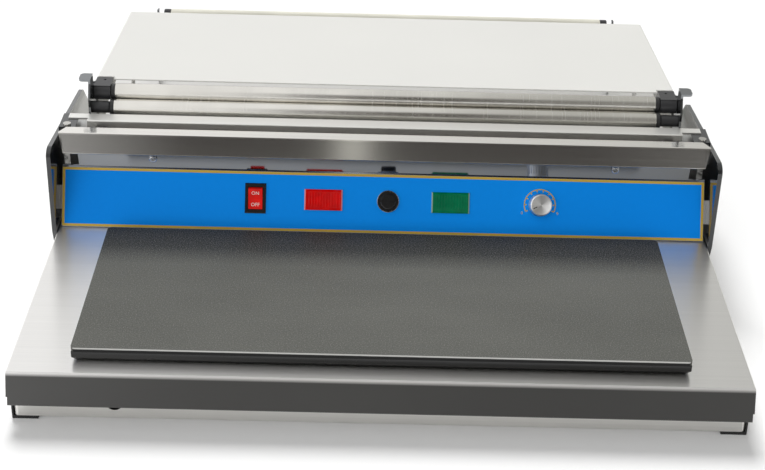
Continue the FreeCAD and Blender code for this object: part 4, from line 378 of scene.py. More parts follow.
coatings = {
    "foot_rubber": ("corner foot rubber", (0.018, 0.018, 0.018), 0.7, 700.0, 0.4),
    "gland_nylon": ("gland nylon", (0.02, 0.02, 0.021), 0.5, 500.0, 0.2),
    "plate_aluminium": ("plate aluminium", (0.72, 0.72, 0.72), 0.32, 600.0, 0.15, 0.05, 0.0, 1.0),
    "frame_black": ("plate foot black paint", (0.020, 0.020, 0.022), 0.45, 600.0, 0.25),
    "mica": ("mica", (0.55, 0.45, 0.30), 0.5, 200.0, 0.3, 0.2),
    "heater_felt": ("insulating felt", (0.75, 0.73, 0.68), 0.9, 300.0, 0.8),
    "spacer_steel": ("spacer aluminium", (0.78, 0.78, 0.78), 0.35, 500.0, 0.1, 0.05, 0.0, 1.0),
    "black_plastic": ("black plastic", (0.010, 0.010, 0.011), 0.20, 500.0, 0.05),
    "terminal_white": ("terminal plastic", (0.74, 0.72, 0.66), 0.5),
    "core_steel": ("core steel", (0.10, 0.10, 0.11), 0.5, 800.0, 0.3, 0.1, 0.0, 0.8),
    "coil_tape": ("coil tape", (0.70, 0.50, 0.08), 0.4, 300.0, 0.3),
    "board_green": ("circuit board", (0.03, 0.16, 0.07), 0.35, 300.0, 0.2),
    "insulator_board": ("insulating board", (0.035, 0.030, 0.026), 0.55, 350.0, 0.4, 0.2),
    "ceramic": ("glazed ceramic", (0.82, 0.80, 0.74), 0.18, 300.0, 0.05, 0.04, 0.5),
    "side_black": ("side plate black paint", (0.012, 0.014, 0.016), 0.10, 700.0, 0.02, 0.05, 0.6),
    "plug_black": ("roller plug plastic", (0.022, 0.022, 0.023), 0.38, 500.0, 0.15),
    "block_black": ("sliding block plastic", (0.030, 0.030, 0.032), 0.30, 500.0, 0.15),
    "top_white": ("top plate satin finish", (0.715, 0.71, 0.68), 0.42, 900.0, 0.02, 0.015, 0.0),
    "rear_roller_white": ("rear roller enamel", (0.80, 0.78, 0.69), 0.32, 500.0, 0.03, 0.03),
    "terminal_brass": ("terminal nickel", (0.62, 0.61, 0.58), 0.25, 500.0, 0.1, 0.08, 0.0, 1.0),
    "screw_steel": ("screw steel", (0.72, 0.72, 0.71), 0.22, 700.0, 0.08, 0.06, 0.0, 1.0),
    "shaft_steel": ("turned steel", (0.70, 0.70, 0.70), 0.18, 900.0, 0.06, 0.05, 0.0, 1.0),
    "wire_metal": ("cutting wire", (0.60, 0.56, 0.50), 0.25, 900.0, 0.1, 0.12, 0.0, 1.0),
    "spring_steel": ("spring steel", (0.66, 0.65, 0.63), 0.22, 900.0, 0.06, 0.08, 0.0, 1.0),
    "knob_silver": ("knob silver", (0.74, 0.74, 0.75), 0.26, 900.0, 0.08, 0.04, 0.0, 1.0),
    "roller_metal": ("roller aluminium", (0.80, 0.80, 0.79), 0.20, 900.0, 0.10, 0.05, 0.0, 1.0),
}
finish = {**steel, "plate_coating": plate_sheet}
finish.update({slot: coated(*values) for slot, values in coatings.items()})
print("finishes:", len(finish))

# %% [markdown]
# ## Lamps, rocker and glass
# Lamp lenses and the lit rocker are clear plastic dyed through. Light enters, scatters inside and
# leaves with a deeper colour. A little transmission with a short glow of the same colour gives
# that depth without a second light. The slanted ends of a lens gather light, so a painted
# highlight makes them paler.

# %% Dyed clear plastic
HEAT_LAMP_X, CUTTER_LAMP_X = -55.7, 62.0
LENS_END = (16.3 * MM, 16.7 * MM)


def dyed(name, colour, clear=0.35, glow=0.12, rough=0.16, centre=None):
    """Clear plastic in one strong colour. A lens with a centre on X has a painted highlight on its
    two ends.
    """
    surface, tree, shader = start_material(name)
    place = coordinates(tree)
    cloud = noise(tree, place, 120.0, 3.0)
    body = drifting(tree, cloud, colour, 0.7, 1.0)
    # Painted highlight: the lens is paler towards its two slanted ends.
    if centre is not None:
        across = add_node(tree, "ShaderNodeSeparateXYZ", Vector=place).outputs["X"]
        away = combine(tree, "ABSOLUTE", combine(tree, "SUBTRACT", across, centre * MM))
        end = rgba(*(0.35 + 0.55 * value for value in colour))
        body = blend_colours(tree, spread(tree, away, 0.0, 1.0, *LENS_END), body, end)
    give(tree, shader.inputs["Base Color"], body)
    constants(shader, Roughness=rough, Transmission_Weight=clear, IOR=1.49,
              Emission_Color=rgba(*colour), Emission_Strength=glow, Specular_IOR_Level=0.2)
    give(tree, shader.inputs["Normal"], bump(tree, cloud, 0.05))
    return surface


finish["rocker_red"] = dyed("rocker red", (0.85, 0.012, 0.008), 0.0, 0.10, 0.18)
finish["lens_red"] = dyed("lens red", (0.70, 0.002, 0.002), 0.15, 0.14, 0.08, HEAT_LAMP_X)
finish["lens_green"] = dyed("lens green", (0.0, 0.22, 0.09), 0.15, 0.08, 0.08, CUTTER_LAMP_X)
finish["fuse_glass"] = dyed("fuse glass", (0.86, 0.90, 0.90), 0.9, 0.0, 0.05)
print("clear plastics ready")

# %% [markdown]
# ## The panel's printed sheet
# The face sheet is printed polyester. Its blue is even in the middle and is painted slightly
# darker towards both ends, as painted shade. Object coordinates give the distance from the middle,
# and a very fine grain stops the gloss from looking like liquid.

# %% Printed blue


def printed_blue():
    """The blue of the panel's face sheet."""
    surface, tree, shader = start_material("panel printed blue")
    place = coordinates(tree)
    across = add_node(tree, "ShaderNodeSeparateXYZ", Vector=place).outputs["X"]
    # Painted shade: the blue darkens towards both ends of the panel.
    ends = spread(tree, combine(tree, "ABSOLUTE", across), 0.0, 0.35, 0.12, 0.30)
    middle = blend_colours(tree, ends, rgba(0.0, 0.30, 0.98), rgba(0.0, 0.22, 0.80))
    grain = noise(tree, place, 300.0, 2.0)
    give(tree, shader.inputs["Base Color"],
         blend_colours(tree, contrast(tree, grain, 0.0, 0.06), middle, rgba(0.0, 0.18, 0.70)))
    constants(shader, Roughness=0.50, Specular_IOR_Level=0.12)
    return surface


finish["panel_blue"] = printed_blue()
gold_print = coated("gold print", (0.58, 0.39, 0.05), 0.45, 700.0, 0.02, 0.05)
pale_print = coated("pale print", (0.85, 0.84, 0.78), 0.45, 700.0, 0.03, 0.02)
print("prints ready")

# %% [markdown]
# ## Dressing the solids
# Each solid names the material slot that it was given in the record. The right solids keep their
# meshes and only change their surface, so the loop below is all the dressing that they need. The
# two lamps are an exception: their shells are moulded in the colour of their lenses.

# %% Give every solid its surface
LAMP_SHELLS = {"heat_lamp_body": "lens_red", "cutter_lamp_body": "lens_green"}
slot_of = {part["node"]: part["material_slot"] for part in frame["record"]["subparts"]}
for node_name, solid in frame["nodes"].items():
    solid.data.materials.clear()
    solid.data.materials.append(finish[LAMP_SHELLS.get(node_name, slot_of[node_name])])
print("dressed:", len(slot_of))

# %% [markdown]
# ## Helpers for new pieces
# New pieces are modelled the way a hand would: a primitive at its size, then edit mode. These
# helpers choose faces and edges by where they are.

# %% Helpers to choose


def only(piece):
    """Choose one piece and nothing else."""
    bpy.ops.object.select_all(action="DESELECT")
    piece.select_set(True)
    bpy.context.view_layer.objects.active = piece


def edit(piece, mode="FACE"):
    """Go into edit mode on one piece with nothing chosen."""
    only(piece)
    bpy.ops.object.mode_set(mode="EDIT")
    bpy.ops.mesh.select_mode(type=mode)
    bpy.ops.mesh.select_all(action="DESELECT")
    return bmesh.from_edit_mesh(piece.data)


def choose(piece, test, mode="FACE"):
    """Go into edit mode and choose the faces or edges that pass a test."""
    shape = edit(piece, mode)
    for element in shape.faces if mode == "FACE" else shape.edges:
        if test(element):
            element.select_set(True)
    shape.select_flush_mode()
    bmesh.update_edit_mesh(piece.data)


def leave():
    """Go back to object mode."""
    bpy.ops.object.mode_set(mode="OBJECT")


def edge_middle(edge):
    """The middle of an edge."""
    return (edge.verts[0].co + edge.verts[1].co) / 2


print("helpers to choose ready")

# %% [markdown]
# The next helpers apply modifiers, and set a finished piece down so that its place ends up in its
# mesh and its object stays at the origin.

# %% Helpers to change a piece


def modify(piece, kind, **settings):
    """Add a modifier, set it and apply it."""
    only(piece)
    modifier = piece.modifiers.new(kind.lower(), kind)
    for name, value in settings.items():
        setattr(modifier, name, value)
    bpy.ops.object.modifier_apply(modifier=modifier.name)


def ease(piece, width, segments=2, over=50.0):
    """Bevel the edges that turn by more than an angle in degrees."""
    modify(piece, "BEVEL", width=width, segments=segments, limit_method="ANGLE",
           angle_limit=math.radians(over))


def carve(piece, other, operation):
    """Add another piece's volume or take it away, and use that piece up."""
    modify(piece, "BOOLEAN", operation=operation, object=other, solver="EXACT")
    bpy.data.objects.remove(other)
    return piece


def settle(piece, matrix=None):
    """Put a piece's place into its mesh, so that its object sits at the origin."""
    moved = piece.matrix_basis.copy() if matrix is None else matrix @ piece.matrix_basis
    piece.data.transform(moved)
    piece.matrix_basis = Matrix.Identity(4)
    if moved.determinant() < 0:
        piece.data.flip_normals()
    return piece


print("helpers to change a piece ready")

# %% [markdown]
# Boxes, cylinders, flat sheets and words are needed again and again. Each helper here makes one at
# its size, and two more join pieces into one or repeat a piece at many places.

# %% Helpers to make pieces


def block(size, middle=(0.0, 0.0, 0.0), turn=0.0):
    """A box of a size round a place."""
    bpy.ops.mesh.primitive_cube_add(size=1.0, location=middle, rotation=(0.0, 0.0, turn))
    piece = bpy.context.object
    piece.scale = size
    return settle(piece)


def cylinder(sides, radius, depth, middle=(0.0, 0.0, 0.0), along="Z", ends="NGON"):
    """A cylinder round a place, upright or along X."""
    turn = math.pi / 2 if along == "X" else 0.0
    bpy.ops.mesh.primitive_cylinder_add(vertices=sides, radius=radius, depth=depth, location=middle,
                                        rotation=(0.0, turn, 0.0), end_fill_type=ends)
    return settle(bpy.context.object)


def sheet(width, length, middle=(0.0, 0.0, 0.0)):
    """A flat rectangle round a place."""
    bpy.ops.mesh.primitive_plane_add(size=1.0, location=middle)
    piece = bpy.context.object
    piece.scale = (width, length, 1.0)
    return settle(piece)


def raised_text(words, size, depth, matrix, steps=12):
    """Words as a thin mesh, centred on the origin and then set down by a matrix."""
    bpy.ops.object.text_add()
    text = bpy.context.object.data
    text.body = words
    text.size = size
    text.align_x = text.align_y = "CENTER"
    text.extrude = depth / 2
    text.resolution_u = steps
    bpy.ops.object.convert(target="MESH")
    return settle(bpy.context.object, matrix)


def join(pieces, name):
    """Join pieces into one and name it."""
    only(pieces[0])
    for piece in pieces:
        piece.select_set(True)
    bpy.ops.object.join()
    pieces[0].name = name
    pieces[0].data.name = name
    return pieces[0]


def copies(piece, matrices, name):
    """Set down one copy of a piece per matrix, each with its own mesh, and join them."""
    made = []
    for matrix in matrices:
        twin = piece.copy()
        twin.data = piece.data.copy()
        bpy.context.scene.collection.objects.link(twin)
        made.append(settle(twin, matrix))
    bpy.data.objects.remove(piece)
    return join(made, name)


def facing(place, direction, spin=0.0):
    """A matrix that stands a piece at a place with its Z along a direction."""
    stand = Vector(direction).to_track_quat("Z", "Y").to_matrix().to_4x4()
    return Matrix.Translation(place) @ stand @ Matrix.Rotation(spin, 4, "Z")


print("helpers to make pieces ready")

# %% [markdown]
# A finished piece has soft shading, a surface, and a body to ride on. If it stands in for a
# solid, that solid is hidden. Another helper makes a piece's faces point outwards.

# %% Helpers to finish a piece
SHARP_FROM = math.radians(35.0)


def outward(piece):
    """Make every face point outwards after merging what coincides."""
    edit(piece)
    bpy.ops.mesh.select_all(action="SELECT")
    bpy.ops.mesh.remove_doubles(threshold=1e-6)
    bpy.ops.mesh.normals_make_consistent(inside=False)
    leave()


def finished(piece, body, slot, surface=None, replaces=()):
    """Shade a piece, give it its surface or else its slot's finish, and the body that it rides on.
    """
    piece.data.materials.clear()
    piece.data.materials.append(surface or finish[slot])
    only(piece)
    bpy.ops.object.shade_smooth_by_angle(angle=SHARP_FROM)
    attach(piece, body)
    if replaces:
        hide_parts(*replaces)


print("helpers to finish ready")

# %% [markdown]
# ## Film rollers
# A tube that catches long highlights needs far more sides than its solid has, so the three tubes
# are modelled again: an open cylinder, its wall by Solidify, and its rims by Bevel. Polishing in a
# lathe leaves faint rings, so their surface has a noise that is stretched round the tube.

# %% Turned surfaces and tubes


def turned_metal(name, tint, rough, metal=1.0):
    """Metal polished in a lathe, with faint rings along X."""
    surface, tree, shader = start_material(name)
    rings = noise(tree, coordinates(tree, (1800.0, 6.0, 6.0)), 1.0, 3.0, 0.6)
    cloud = noise(tree, coordinates(tree), 14.0, 3.0)
    give(tree, shader.inputs["Base Color"], drifting(tree, cloud, tint, 0.86, 1.05))
    give(tree, shader.inputs["Roughness"], contrast(tree, rings, rough - 0.02, rough + 0.03))
    constants(shader, Metallic=metal)
    give(tree, shader.inputs["Normal"], bump(tree, rings, 0.02))
    return surface


TUBE_SIDES, TUBE_WALL, TUBE_RIM = 96, 1.2 * MM, 0.25 * MM
roller_surface = turned_metal("roller turned aluminium", (0.82, 0.80, 0.75), 0.25)
enamel_surface = turned_metal("rear roller enamel skin", (0.80, 0.78, 0.68), 0.34, 0.0)


def roller_tube(node, body, slot, surface):
    """A tube along X in the place of its solid."""
    low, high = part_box(node)
    tube = cylinder(TUBE_SIDES, (high.z - low.z) / 2, high.x - low.x, (low + high) / 2, "X",
                    "NOTHING")
    modify(tube, "SOLIDIFY", thickness=TUBE_WALL, offset=-1.0)
    ease(tube, TUBE_RIM, over=60.0)
    tube.name = node + "_tube"
    finished(tube, body, slot, surface, [node])


roller_tube("lower_roller", "lower_pinch_roller", "roller_metal", roller_surface)
roller_tube("upper_roller", "upper_pinch_roller", "roller_metal", roller_surface)
roller_tube("rear_roller", "rear_film_roller", "rear_roller_white", enamel_surface)
print("sides of a tube:", TUBE_SIDES)

# %% [markdown]
# ## Screws
# The head of a pan head screw is a short cylinder whose upper rim is rolled over by a wide bevel.
# The cross recess is cut by a Boolean with two crossed bars, which are narrowed downwards first,
# because a driver's tip is tapered. One screw is modelled and then copied to every place.

# %% Model one screw head
HEAD_RADIUS, HEAD_RISE, HEAD_ROLL = 3.6 * MM, 2.2 * MM, 0.62
RECESS_SPAN, RECESS_DEPTH, RECESS_WIDTH, RECESS_TIP = 1.15, 0.55, 0.22, 0.55


def cross_recess(size, depth, place_z):
    """Two crossed tapering bars to cut out of a screw head."""
    bars = []
    for turn in (0.0, math.pi / 2):
        bar = block((size, size * RECESS_WIDTH, depth * 2), (0.0, 0.0, place_z), turn)
        choose(bar, lambda face: face.normal.z < -0.9)
        bpy.ops.transform.resize(value=(RECESS_TIP, RECESS_TIP, 1.0))
        leave()
        bars.append(bar)
    return carve(bars[0], bars[1], "UNION")


def screw_head():
    """A pan head screw, seen from outside, sitting on Z = 0."""
    head = cylinder(40, HEAD_RADIUS, HEAD_RISE, (0.0, 0.0, HEAD_RISE / 2))
    choose(head, lambda edge: edge_middle(edge).z > HEAD_RISE * 0.9, "EDGE")
    bpy.ops.mesh.bevel(offset=HEAD_RISE * HEAD_ROLL, segments=5, profile=0.6, affect="EDGES")
    leave()
    cutter = cross_recess(HEAD_RADIUS * RECESS_SPAN, HEAD_RISE * RECESS_DEPTH, HEAD_RISE)
    return carve(head, cutter, "DIFFERENCE")


sample = screw_head()
print("faces in a screw head:", len(sample.data.polygons))

# %% [markdown]
# The panel's upper flange has two screws, which show under the bar. The side plates, the brackets
# of the rollers and the top plate's feet have theirs as well. The heads are turned by different
# angles, because nobody lines up the recesses by hand.

# %% Copy the screws
SCREW_TURN = 0.7
BAND_LEAN, BAND_FOLD, BAND_UP, BAND_X = math.radians(15.0), 57.5, 11.2, 213.0
SIDE_SCREWS = {
    "side plate": (True, 301.5, ((244.0, -10.0), (324.0, -10.0), (404.0, -10.0), (287.0, 70.0),
                                 (246.0, 28.0))),
    "roller bracket foot": (False, 282.8, ((308.0, 2.0), (344.0, 2.0))),
    "rear bracket foot": (False, 257.0, ((586.0, 2.0),)),
    "roller bracket": (True, 276.8, ((345.0, 90.5),)),
    "top plate foot": (False, 280.8, ((372.0, 1.2), (454.0, 1.2), (540.0, 1.2))),
}

band_out = (0.0, -math.cos(BAND_LEAN), -math.sin(BAND_LEAN))
band_y = PANEL_FRONT + BAND_FOLD * math.sin(PANEL_LEAN) - BAND_UP * math.sin(BAND_LEAN)
band_z = BAND_FOLD * math.cos(PANEL_LEAN) + BAND_UP * math.cos(BAND_LEAN)
seats = [(at(side * BAND_X, band_y, band_z), band_out) for side in (-1, 1)]
for side in (-1, 1):
    for outwards, x, places in SIDE_SCREWS.values():
        way = (side, 0.0, 0.0) if outwards else (0.0, 0.0, 1.0)
        seats += [(at(side * x, back, up), way) for back, up in places]
placed = [facing(*seat, SCREW_TURN * index) for index, seat in enumerate(seats)]
screws = copies(sample, placed, "frame_screws")
finished(screws, "frame", "screw_steel")
print("screws:", len(seats))

# %% [markdown]
# ## Springs that keep the wire taut
# The cutting wire grows when it is hot, so a coil spring at each end takes up the slack. A coil is
# a small circle carried round an axis and along it, which is what the Screw modifier does. The
# solid is a ribbed body in the same place, and the coil replaces it.

# %% Wind the springs
COIL_RADIUS, COIL_WIRE, COIL_TURNS, EYE_RADIUS = 2.6 * MM, 0.5 * MM, 8, 2.4 * MM
WIRE_BACK, WIRE_UP, WIRE_SIDES = 273.53, 78.63, 10
SPRING_START, SPRING_END, ANCHOR = 271.0, 280.5, 293.0


def coil():
    """A close-wound coil along X, from the wire's end outwards."""
    bpy.ops.mesh.primitive_circle_add(vertices=WIRE_SIDES, radius=COIL_WIRE, fill_type="NOTHING",
                                      location=(0.0, COIL_RADIUS, 0.0),
                                      rotation=(0.0, math.pi / 2, 0.0))
    ring = settle(bpy.context.object)
    choose(ring, lambda edge: True, "EDGE")
    bpy.ops.transform.rotate(value=math.pi / 2, orient_axis="Z",
                             center_override=(0.0, COIL_RADIUS, 0.0))
    leave()
    modify(ring, "SCREW", axis="X", angle=2 * math.pi * COIL_TURNS, steps=28, render_steps=28,
           screw_offset=(SPRING_END - SPRING_START) * MM, use_merge_vertices=False)
    return settle(ring, Matrix.Translation(at(SPRING_START, WIRE_BACK, WIRE_UP)))


def eye_ring(place):
    """The spring's closed eye round its anchor screw, with the straight end that leads to it."""
    bpy.ops.mesh.primitive_torus_add(major_radius=EYE_RADIUS, minor_radius=COIL_WIRE,
                                     major_segments=32, minor_segments=WIRE_SIDES,
                                     location=place)
    eye = settle(bpy.context.object)
    reach = (ANCHOR - SPRING_END) * MM - EYE_RADIUS
    middle = place - Vector((EYE_RADIUS + reach / 2, 0.0, 0.0))
    return join([eye, cylinder(WIRE_SIDES, COIL_WIRE, reach, middle, "X")], "eye")


def spring_cap(x):
    """The bent-in end of the coil, as a short bar across it."""
    return cylinder(WIRE_SIDES, COIL_WIRE, 2 * COIL_RADIUS, at(x, WIRE_BACK, WIRE_UP))


eye = eye_ring(at(ANCHOR, WIRE_BACK, WIRE_UP))
right_spring = join([coil(), eye, spring_cap(SPRING_START), spring_cap(SPRING_END)], "spring")
mirror = Matrix.Scale(-1.0, 4, (1.0, 0.0, 0.0))
springs = copies(right_spring, [Matrix.Identity(4), mirror], "wire_springs")
outward(springs)
finished(springs, "frame", "spring_steel", None, ["cutter_springs"])
print("turns in a spring:", COIL_TURNS)

# %% [markdown]
# ## Gold border of the panel
# The printed sheet has a thin gold line all round, a little inside its edge. Print is nearly flat,
# so the line is a very thin frame that lies on the sheet: a plane, inset once for the line's width,
# with the middle deleted and a tenth of a millimetre of thickness.

# %% Lay the gold line
FACE_OUT = 0.3
PRINT_DEPTH = 0.08 * MM
BORDER_WIDTH, BORDER_LENGTH, BORDER_LINE, BORDER_SLOPE = 594.3 * MM, 54.5 * MM, 2.4 * MM, 28.75

border = sheet(BORDER_WIDTH, BORDER_LENGTH)
choose(border, lambda face: True)
bpy.ops.mesh.inset(thickness=BORDER_LINE, depth=0.0)
bpy.ops.mesh.delete(type="FACE")
leave()
modify(border, "SOLIDIFY", thickness=PRINT_DEPTH, offset=1.0)
settle(border, panel_frame(0.0, BORDER_SLOPE, FACE_OUT))
border.name = "panel_gold_border"
finished(border, "frame", "panel_blue", gold_print)
print("gold line:", len(border.data.polygons), "faces")

# %% [markdown]
# ## Scale of the regulator
# Round the knob is a printed scale: an arc with ten ticks, and the numbers 0 and 9 at its ends. A
# short bar is spun round the knob's axis for the arc. Numbers are text turned into a mesh, because
# a finished piece has to carry its place in its mesh.

# %% Draw the scale
DIAL_X, SWEEP, TICKS, ARC_STEPS, ARC_OVERLAP = 145.0, 230.0, 10, 60, 1.04
TICK_INNER, TICK_OUTER, NUMBER_RADIUS = 12.2 * MM, 14.4 * MM, 18.2 * MM
PRINT_WIDTH, NUMBER_SIZE = 0.95 * MM, 3.78 * MM


def printed_bar(width, inner, outer, angle):
    """A flat bar from one radius to another, pointing away from the knob's axis."""
    bar = sheet(width, outer - inner, (0.0, (inner + outer) / 2, 0.0))
    return settle(bar, Matrix.Rotation(angle, 4, "Z"))


def printed_marks():
    """The arc, as a strip of short flat bars, and the ticks inside it."""
    length = ARC_OVERLAP * TICK_OUTER * math.radians(SWEEP) / ARC_STEPS
    near, far = TICK_OUTER - PRINT_WIDTH / 2, TICK_OUTER + PRINT_WIDTH / 2
    turns = [math.radians(SWEEP * ((step + 0.5) / ARC_STEPS - 0.5)) for step in range(ARC_STEPS)]
    bars = [printed_bar(length, near, far, turn) for turn in turns]
    turns = [math.radians(SWEEP / 2 - tick * SWEEP / (TICKS - 1)) for tick in range(TICKS)]
    bars += [printed_bar(PRINT_WIDTH, TICK_INNER, TICK_OUTER, turn) for turn in turns]
    return join(bars, "flat_marks")


marks = [printed_marks()]
modify(marks[0], "SOLIDIFY", thickness=PRINT_DEPTH, offset=1.0)
for words, side in (("0", 1), ("9", -1)):
    angle = side * math.radians(SWEEP / 2)
    spot = Vector((-math.sin(angle) * NUMBER_RADIUS, math.cos(angle) * NUMBER_RADIUS,
                   PRINT_DEPTH / 2))
    marks.append(raised_text(words, NUMBER_SIZE, PRINT_DEPTH, Matrix.Translation(spot)))
scale_marks = join(marks, "dial_scale")
settle(scale_marks, panel_frame(DIAL_X, out=FACE_OUT))
finished(scale_marks, "frame", "panel_blue", gold_print)
print("scale from 0 to 9 over", SWEEP, "degrees")

# %% [markdown]
# ## Regulator knob
# The knob is spun aluminium: a low skirt, a fluted grip and a crowned top with a pointer line. It
# starts as a cylinder. Its top is inset and raised to make the crown, its foot is drawn out for
# the skirt, and every third side face is inset and pushed in for the flutes. Spun metal shines in
# spokes that run to its centre, so a radial gradient round the knob's own axis paints two
# opposite spoke highlights into its colour.

# %% Model the knob
KNOB_SIDES, FLUTE_EVERY = 72, 3
KNOB_RADIUS, KNOB_SKIRT, KNOB_TOP, GRIP_LOW = 9.8 * MM, 10.6 * MM, 14.0 * MM, 3.4 * MM
FLUTE_RIM, FLUTE_SINK, CROWN_STEPS = 0.12 * MM, 0.93, ((0.9, 0.35), (0.5, -0.25))
SKIRT_FLARE, SKIRT_RISE = (0.0, 0.0, -1.6 * MM), (0.0, 0.0, -1.3 * MM)
POINTER_SIZE, POINTER_PLACE = (0.7 * MM, 4.0 * MM, 0.4 * MM), (0.0, 6.1 * MM, 14.05 * MM)


def knob():
    """The knob, standing on the panel's face at the origin."""
    middle_z = (KNOB_TOP + GRIP_LOW) / 2
    body = cylinder(KNOB_SIDES, KNOB_RADIUS, KNOB_TOP - GRIP_LOW, (0.0, 0.0, middle_z))

    def flute(face):
        middle = face.calc_center_median()
        step = round(math.atan2(middle.y, middle.x) / (2 * math.pi) * KNOB_SIDES - 0.5)
        return abs(face.normal.z) < 0.1 and step % FLUTE_EVERY == 0

    choose(body, flute)
    bpy.ops.mesh.inset(thickness=FLUTE_RIM, use_individual=True)
    bpy.ops.transform.resize(value=[FLUTE_SINK] * 3, center_override=(0.0, 0.0, middle_z))
    leave()
    choose(body, lambda face: face.normal.z > 0.9 and face.calc_area() > 1e-5)
    for inset, rise in CROWN_STEPS:
        bpy.ops.mesh.inset(thickness=inset * MM)
        bpy.ops.transform.translate(value=(0.0, 0.0, rise * MM))
    leave()
    choose(body, lambda face: face.normal.z < -0.9)
    bpy.ops.mesh.extrude_region_move(TRANSFORM_OT_translate={"value": SKIRT_FLARE})
    bpy.ops.transform.resize(value=(KNOB_SKIRT / KNOB_RADIUS, KNOB_SKIRT / KNOB_RADIUS, 1.0))
    bpy.ops.mesh.extrude_region_move(TRANSFORM_OT_translate={"value": SKIRT_RISE})
    leave()
    return body


def knob_pointer():
    """The pointer: a line let into the crown."""
    line = block(POINTER_SIZE, POINTER_PLACE)
    modify(line, "BEVEL", width=FLUTE_RIM, segments=2)
    return line


def painted_spoke_highlights(surface, place):
    """Paint highlights into a surface's colour in spokes round the upright axis of a place."""
    tree = surface.node_tree
    inverse = place.inverted()
    local = coordinates(tree, turn=tuple(inverse.to_euler()), shift=tuple(inverse.translation))
    # Painted highlight: two opposite spokes of the colour are brightened.
    around = add_node(tree, "ShaderNodeTexGradient", gradient_type="RADIAL", Vector=local)
    turns = combine(tree, "MULTIPLY", around.outputs["Fac"], 4 * math.pi)
    share = spread(tree, combine(tree, "SINE", turns), 0.0, 1.0, -0.7, 0.8)
    give(tree, tree.nodes["Principled BSDF"].inputs["Base Color"],
         blend_colours(tree, share, rgba(0.58, 0.58, 0.58), rgba(1.0, 1.0, 1.0)))


knob_place = panel_frame(DIAL_X) @ Matrix.Rotation(math.radians(SWEEP / 2), 4, "Z")
knob_piece, pointer = knob(), knob_pointer()
knob_piece.name, pointer.name = "regulator_knob_turned", "regulator_knob_pointer"
settle(knob_piece, knob_place)
settle(pointer, knob_place)
knob_surface = turned_metal("knob spun aluminium", (0.88, 0.88, 0.88), 0.46)
painted_spoke_highlights(knob_surface, knob_place)
finished(knob_piece, "dial", "knob_silver", knob_surface, ["regulator_knob"])
finished(pointer, "dial", "black_plastic")
print("faces in the knob:", len(knob_piece.data.polygons))

# %% [markdown]
# ## Lamp lenses
# A lens is a clear cap with upright ribs that spread the light. The ribs are what one sees first,
# so they are real: the top of a block is cut into strips by bisecting, and every other strip is
# raised with a slanted side. Its outer edge is a broad slant that catches the light of the room.

# %% Model the lenses
LENS_WIDTH, LENS_LENGTH, LENS_TOP = 35.2 * MM, 19.2 * MM, 3.1 * MM
LENS_SLANT, LENS_RIM, LENS_SINK = 1.5 * MM, 1.2 * MM, 0.4 * MM
RIBS, RIB_GAP, RIB_RISE, NEARLY = 11, 0.06 * MM, 0.5 * MM, 0.1 * MM


def ribbed_lens():
    """A lens with raised ribs, its back on Z = 0."""
    lens = block((LENS_WIDTH, LENS_LENGTH, LENS_TOP), (0.0, 0.0, LENS_TOP / 2))
    choose(lens, lambda edge: edge_middle(edge).z > LENS_TOP - NEARLY, "EDGE")
    bpy.ops.mesh.bevel(offset=LENS_SLANT, segments=1)
    leave()
    choose(lens, lambda face: face.normal.z > 0.9)
    bpy.ops.mesh.inset(thickness=LENS_RIM)
    bpy.ops.transform.translate(value=(0.0, 0.0, -LENS_SINK))
    leave()
    strips = 2 * RIBS + 1
    span = LENS_WIDTH - 2 * (LENS_SLANT + LENS_RIM)

    def on_field(face):
        middle = face.calc_center_median()
        return face.normal.z > 0.9 and abs(middle.y) < NEARLY and abs(middle.x) < span / 2

    def on_rib(face):
        return on_field(face) and int((face.calc_center_median().x / span + 0.5) * strips) % 2 == 1

    for step in range(1, strips):
        choose(lens, on_field)
        cut = (span * (step / strips - 0.5), 0.0, LENS_TOP)
        bpy.ops.mesh.bisect(plane_co=cut, plane_no=(1.0, 0.0, 0.0))
        leave()
    choose(lens, on_rib)
    bpy.ops.mesh.inset(thickness=RIB_GAP, use_individual=True)
    bpy.ops.mesh.extrude_region_move(TRANSFORM_OT_translate={"value": (0.0, 0.0, RIB_RISE)})
    leave()
    ease(lens, 0.12 * MM)
    return lens


for lens_name, across, slot in (("heat_lamp_lens", HEAT_LAMP_X, "lens_red"),
                                ("cutter_lamp_lens", CUTTER_LAMP_X, "lens_green")):
    lens = ribbed_lens()
    lens.name = lens_name + "_ribbed"
    settle(lens, panel_frame(across, out=FACE_OUT))
    finished(lens, "frame", slot, None, [lens_name])
print("faces in a lens:", len(lens.data.polygons))

# %% [markdown]
# ## Fuse holder and carrier
# The holder's flange has a bright rim, which is a torus round the cap. Behind the cap sits the
# carrier, seen only when the fuse is pulled: a black socket that grips a glass fuse with a metal
# cap on its far end. Both sleeves are cylinders just over their solid, and they ride on it.

# %% Model the rim, the socket and the end cap
FUSE_X, FUSE_MOUTH = 4.1, 2.65
RIM_RADIUS, RIM_WIRE = 9.85, 0.35
SOCKET = {"name": "fuse_socket_sleeve", "radius": 4.43, "near": 0.02, "far": 6.02}
END_CAP = {"name": "fuse_end_cap", "radius": 2.66, "near": 16.0, "far": 21.05}

bpy.ops.mesh.primitive_torus_add(major_radius=RIM_RADIUS * MM, minor_radius=RIM_WIRE * MM,
                                 major_segments=72, minor_segments=10)
rim = bpy.context.object
rim.name = "fuse_holder_rim"
settle(rim, panel_frame(FUSE_X, out=FUSE_MOUTH - RIM_WIRE))
finished(rim, "frame", "screw_steel")


def sleeve(slot, name, radius, near, far):
    """A closed cylinder on the fuse's axis between two depths behind the flange's mouth."""
    piece = cylinder(48, radius * MM, (far - near) * MM)
    piece.name = name
    ease(piece, 0.2 * MM)
    settle(piece, panel_frame(FUSE_X, out=FUSE_MOUTH - (near + far) / 2))
    finished(piece, "fuse_carrier", slot)


sleeve("black_plastic", **SOCKET)
sleeve("shaft_steel", **END_CAP)
print("fuse axis at", on_panel(FUSE_X))

# %% [markdown]
# ## The sheet's skirt
# The non-stick sheet is folded down over the plate's edge and tucked in under it, so the plate
# looks like one black block whose lower edge is cut back. A box gives its outline: it is bisected
# at the fold, and its lowest face is drawn in with a resize.

